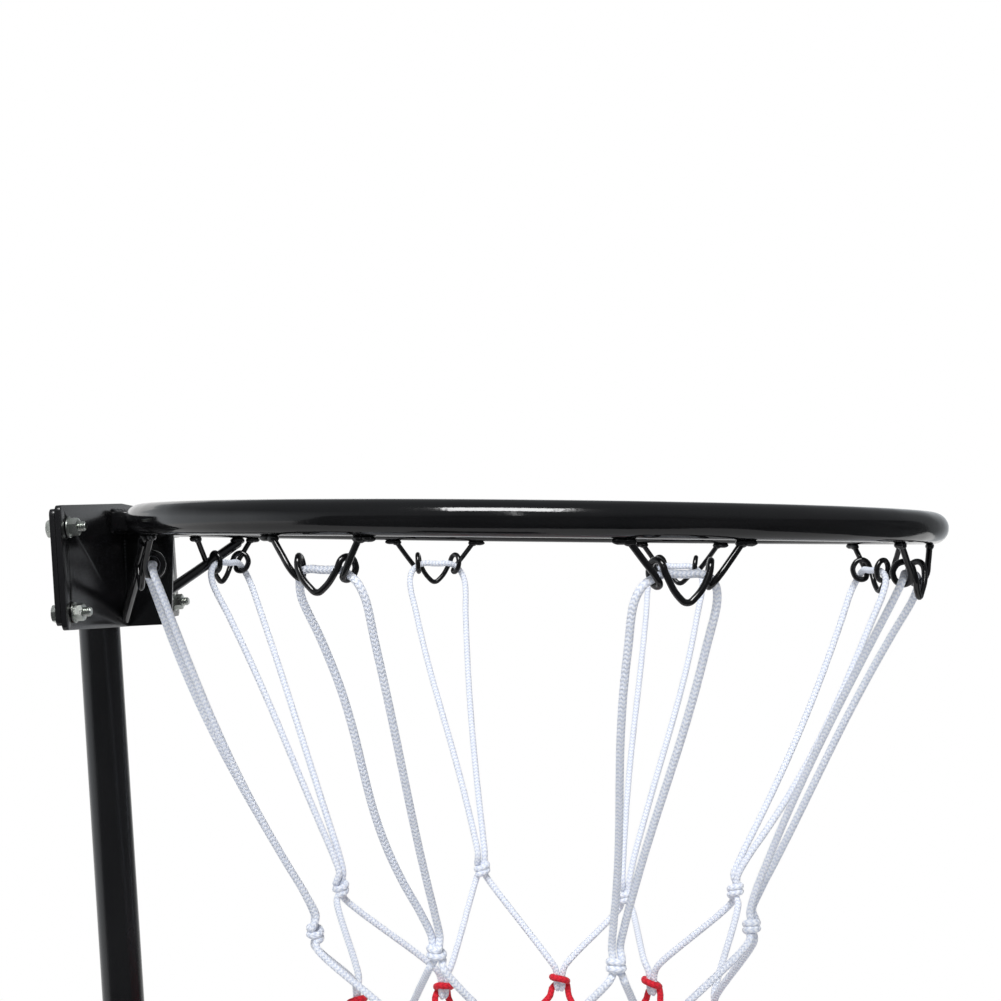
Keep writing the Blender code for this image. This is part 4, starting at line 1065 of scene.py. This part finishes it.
wheels = {
    "x": 0.225,
    "half": 0.019,
    "axle": 0.005,
    "axleProud": 0.006,
    "spokes": 6,
    # one side from the bore out over the rim to the tread's groove
    "side": mm((5.7, 19), (12.4, 19), (13.2, 18.3), (13.7, 8), (15, 6.3), (17.2, 5.9),
               (33.5, 5.9), (35.6, 6.6), (36.8, 8.2), (38.4, 16), (39.1, 17.1), (40.5, 17.8),
               (44, 18), (45.8, 17.6), (47.6, 16), (49, 13.2), (49.8, 10.4), (50, 8.6),
               (49.9, 7.8), (48.9, 7.3), (48.9, 6.1), (49.9, 5.6)),
    "cap": mm((9.4, 0), (10, 0.4), (10, 2.6), (9.6, 4), (8.4, 5.4), (6.6, 6.7), (4.2, 7.6),
              (1.5, 8)),
}


def wheelShape():
    side = wheels["side"]
    tyre = turnedShape(side + [(r, -z) for r, z in side[::-1]], 96, hollow=True)
    return joined(tyre, *around(wheels["spokes"], lambda: boxShape(
        (0.025, 0.003, 0.028), (0.025, 0, 0), 0.0009)))


def axleCapShape():
    return drill(turnedShape(wheels["cap"], 56), wheels["axle"] + 0.0003, -0.001, 0.005)


def makeWheels():
    y, z = tank["axle"]
    half = wheels["x"] + wheels["half"] + wheels["axleProud"]
    axle = put(rodShape(wheels["axle"], -half, half, 40, 0.0008), turnTo((1, 0, 0), (0, y, z)))
    dress(axle, "wheelAxle", "base", "wheel_axle", "zincPlating", 40)
    for side, label in ((-1, "left"), (1, "right")):
        for shape, x, name, body, node, coat in (
                (wheelShape, wheels["x"], "wheel", "wheel_" + label, "wheel_",
                 "blackMouldedPlastic"),
                (axleCapShape, half - 0.0047, "axleCap", "base", "axle_cap_",
                 "greyMouldedPlastic")):
            dress(put(shape(), turnTo((side, 0, 0), (side * x, y, z))),
                  name + label.title(), body, node + label, coat, 40)


makeWheels()
print("wheels made")


# struts from the post down to the tank's rear

strut = {
    "flat": 0.002,
    "radius": 0.0095,
    "wide": 0.012,
    "lap": 0.0132,
    "top": (0.0213, 0.0, 0.455),
    "foot": (0.16, 0.43, 0.1443),
    "hole": 0.0043,
    "boltOut": 0.0236,
    "footSeat": 0.1466,
}


def strutShape(side):
    # circles set along the way, pressed flat towards both ends, then bridged
    top, foot = Vector(strut["top"]), Vector(strut["foot"])
    top.x, foot.x = side * top.x, side * foot.x
    flat, full, wide, lap = (strut[key] for key in ("flat", "radius", "wide", "lap"))
    heel = foot - Vector((0, lap, 0))
    slope = (heel - top).normalized()
    level = Vector((0, slope.y, slope.z)).normalized()
    shoulder = top + level * lap
    run = heel - shoulder
    lie = Vector((0, 1, 0))
    # each station's middle, direction, and half its width and height
    stations = [(top - level * lap, level, flat * 0.7, wide * 0.72),
                (top - level * lap * 0.9, level, flat, wide * 0.92),
                (top - level * lap * 0.6, level, flat, wide), (shoulder, level, flat, wide)]
    for share, press in ((0.03, 0.12), (0.06, 0.45), (0.09, 0.82), (0.12, 1), (0.86, 1)):
        stations.append((shoulder + run * share, level.lerp(slope, press),
                         flat + (full - flat) * press, wide + (full - wide) * press))
    for share, press in ((0.9, 0.8), (0.94, 0.45), (0.97, 0.15)):
        stations.append((shoulder + run * share, slope.lerp(Vector((0, 1, -0.3)), 1 - press),
                         wide + (full - wide) * press, flat + (full - flat) * press))
    stations += [(heel, Vector((0, 1, -0.18)), wide, flat), (foot, lie, wide, flat),
                 (foot + lie * lap * 0.6, lie, wide, flat),
                 (foot + lie * lap * 0.9, lie, wide * 0.92, flat),
                 (foot + lie * lap, lie, wide * 0.72, flat * 0.7)]
    rings = []
    for centre, along, halfSide, halfUp in stations:
        along = along.normalized()
        across = (Vector((1, 0, 0)) - along * along.x).normalized()
        up = across.cross(along).normalized()
        ring = started(bpy.ops.mesh.primitive_circle_add, vertices=32, radius=1)
        pose = Matrix((across * halfSide, up * halfUp, -along)).transposed().to_4x4()
        rings.append(put(ring, at(*centre) @ pose))
    body = joined(*rings)
    startEdit(body, "EDGE")
    bpy.ops.mesh.select_all(action="SELECT")
    bpy.ops.mesh.bridge_edge_loops()
    closeUp(body)
    for way in (turnTo((1, 0, 0), top), at(*foot)):
        drill(body, strut["hole"], -0.02, 0.02, way)
    return body


def makeStruts():
    out, height = strut["boltOut"], strut["top"][2]
    for kind, shape, side in (("bolt", boltShape, -1), ("nut", nutShape, 1)):
        dress(put(shape(strutBolt), turnTo((side, 0, 0), (side * out, 0, height))),
              "strut" + kind.title(), "base", "strut_cross_" + kind, "zincPlating", 30)
    for side, label in ((-1, "left"), (1, "right")):
        dress(strutShape(side), "strut" + label.title(), "base", "strut_" + label,
              "satinBlackCoat", 50)
        x, y, _ = strut["foot"]
        dress(put(boltShape(footBolt), at(side * x, y, strut["footSeat"])),
              "strutFootBolt" + label.title(), "base", "strut_foot_bolt_" + label,
              "zincPlating", 30)


makeStruts()
print("struts made")


# studio: camera, lamps, world and floor

studio = {
    "camera": (-1.05, -0.079, -0.0145),   # from the ring's middle, in the net's frame
    "yaw": 5.44, "pitch": 1.6, "roll": 0.62,
    "lens": 62.5,
    "softbox": {"height": 52, "wide": 1.77, "tall": 2.3, "far": 5.0, "power": 258},
    "strip": {"height": 21, "wide": 1.8, "tall": 0.11, "far": 3.2, "power": 3.2},
    # how bright the room is behind and overhead, and how much darker in front and at the side
    "room": {"behind": 0.95, "overhead": 0.24, "front": 0.72, "side": 0.8},
    # each dark curtain's place, the angles that it leans at and its size
    "curtains": {"frontCurtain": ((-1.95, -1.4, 1.25), (0, 62, 0), (3.6, 9.0, 1)),
                 "sideCurtain": ((-0.3, -3.0, 1.25), (-62, 0, 0), (6.0, 3.6, 1))},
}


def makeCamera():
    yaw, pitch, roll = (radians(studio[key]) for key in ("yaw", "pitch", "roll"))
    pose = spin(yaw - pi / 2) @ spin(pitch + pi / 2, "X") @ spin(roll)
    camera = started(bpy.ops.object.camera_add)
    camera.name = "photoCamera"
    camera.matrix_world = netFrame @ at(*studio["camera"]) @ pose
    camera.data.lens = studio["lens"]
    camera.data.sensor_width = 36
    camera.data.sensor_fit = "HORIZONTAL"
    camera.data.clip_start, camera.data.clip_end = 0.05, 400
    bpy.context.scene.camera = camera


def makeLamp(name):
    settings, middle = studio[name], netFrame.translation
    high = radians(settings["height"])
    place = middle + Vector((-cos(high), 0, sin(high))) * settings["far"]
    lamp = started(bpy.ops.object.light_add, type="AREA", location=place)
    lamp.name = name
    lamp.rotation_euler = (middle - place).to_track_quat("-Z", "Z").to_euler()
    lamp.data.shape = "RECTANGLE"
    lamp.data.size, lamp.data.size_y = settings["wide"], settings["tall"]
    lamp.data.energy = settings["power"]
    lamp.visible_camera = False


def roomLevel(tree, way):
    # how bright the studio is in a direction: white behind the object, dark round the camera
    aim, room = link(tree, "SeparateXYZ", {"Vector": way}).outputs, studio["room"]
    front = spread(tree, calc(tree, "MULTIPLY", aim["X"], -1), 0, 1, 0.25, 0.75)
    low = spread(tree, aim["Z"], 1, 0, 0.15, 0.55)
    side = spread(tree, calc(tree, "MULTIPLY", aim["Y"], -1), 0, 1, 0.05, 0.55)
    glow = calc(tree, "MULTIPLY_ADD", front, -room["front"], room["behind"])
    glow = calc(tree, "MULTIPLY", glow, calc(tree, "MULTIPLY_ADD", side, -room["side"], 1))
    more = calc(tree, "SUBTRACT", glow, room["overhead"])
    return calc(tree, "MULTIPLY_ADD", more, low, room["overhead"])


def makeWorld():
    world = bpy.data.worlds.new("whiteStudio")
    bpy.context.scene.world = world
    world.use_nodes = True
    tree = world.node_tree
    tree.nodes.clear()
    level = roomLevel(tree, tree.nodes.new("ShaderNodeTexCoord").outputs["Generated"])
    ray = tree.nodes.new("ShaderNodeLightPath").outputs
    seen = calc(tree, "MAXIMUM", ray["Is Camera Ray"],
                calc(tree, "MAXIMUM", ray["Is Glossy Ray"], ray["Is Transmission Ray"]))
    room = link(tree, "Background", {"Color": (0.97, 0.98, 1.0, 1), "Strength": level})
    white = link(tree, "Background", {"Color": (1, 1, 1, 1), "Strength": 1.0})
    mix = link(tree, "MixShader", {0: seen, 1: room.outputs[0], 2: white.outputs[0]})
    link(tree, "OutputWorld", {"Surface": mix.outputs[0]})


def makeFloor():
    floor = started(bpy.ops.mesh.primitive_grid_add, x_subdivisions=8, y_subdivisions=8, size=300)
    floor.name = "paleFloor"
    material, tree, shader, place = newMaterial("paleFloor")
    tone = noise(tree, place["Object"], 3, 3.0)
    feed(tree, shader, {
        "Base Color": blendColours(tree, tone, (0.86, 0.86, 0.86), (0.84, 0.84, 0.845)),
        "Roughness": 0.7, "Specular IOR Level": 0.2})
    reach = link(tree, "VectorMath", {0: place["Object"]}, operation="LENGTH").outputs["Value"]
    far = spread(tree, reach, 0, 1, 2.2, 6.5)
    white = link(tree, "Emission", {"Color": (1, 1, 1, 1), "Strength": 1.0})
    mix = link(tree, "MixShader", {0: far, 1: shader.outputs[0], 2: white.outputs[0]})
    feed(tree, tree.nodes["Material Output"], {"Surface": mix.outputs[0]})
    floor.data.materials.append(material)


def glossOnly(piece, name, level):
    # a dark thing of the studio that only the gloss of the object sees
    piece.name = name
    put(piece)
    material, tree, shader, place = newMaterial(name)
    tree.nodes.remove(shader)
    dark = link(tree, "Emission", {"Color": (0.92, 0.96, 1.0, 1),
                                   "Strength": level(tree, place["Object"])})
    feed(tree, tree.nodes["Material Output"], {"Surface": dark.outputs[0]})
    piece.data.materials.append(material)
    piece.visible_camera = piece.visible_diffuse = piece.visible_shadow = False
    piece.visible_transmission = False


def makeDarkCards():
    # low curtains in front and on the right, leaning in below
    for name, (place, lean, size) in studio["curtains"].items():
        card = started(bpy.ops.mesh.primitive_plane_add, size=1, location=place,
                       rotation=[radians(angle) for angle in lean])
        card.scale = size
        glossOnly(card, name, lambda tree, spot: spread(tree, noise(tree, spot, 0.8), 0.05, 0.12))


def makeDarkRoom():
    # the walls and ceiling round the camera; open where the white background stands
    middle = netFrame.translation
    room = put(started(bpy.ops.mesh.primitive_uv_sphere_add, segments=48, ring_count=24, radius=9,
                       location=middle))
    openWay = Vector((1, 0.45, -0.2)).normalized()
    selectWhere(room, lambda f: (f.calc_center_median() - middle).normalized().dot(openWay) > 0.8,
                "FACE")
    bpy.ops.mesh.delete(type="FACE")

    def level(tree, place):
        off = link(tree, "VectorMath", {0: place, 1: middle}, operation="SUBTRACT")
        way = link(tree, "VectorMath", {0: off.outputs["Vector"]}, operation="NORMALIZE")
        return roomLevel(tree, way.outputs["Vector"])

    glossOnly(room, "darkRoom", level)


bpy.context.scene.view_settings.view_transform = "Standard"
makeCamera()
makeLamp("softbox")
makeLamp("strip")
makeWorld()
makeFloor()
makeDarkCards()
makeDarkRoom()
print("studio made")

# the frame's own pieces that stay
for node, coat in {
    "mid_stop_rivet": "zincPlating", "mid_foot_bush": "greyMouldedPlastic",
    "top_foot_bush": "greyMouldedPlastic", "clamp_pad_low": "greyMouldedPlastic",
    "clamp_pad_mid": "greyMouldedPlastic", "filler_seal": "sealRubber",
    "water_fill": "tankWater",
}.items():
    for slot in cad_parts[node].material_slots:
        slot.material = coats[coat]
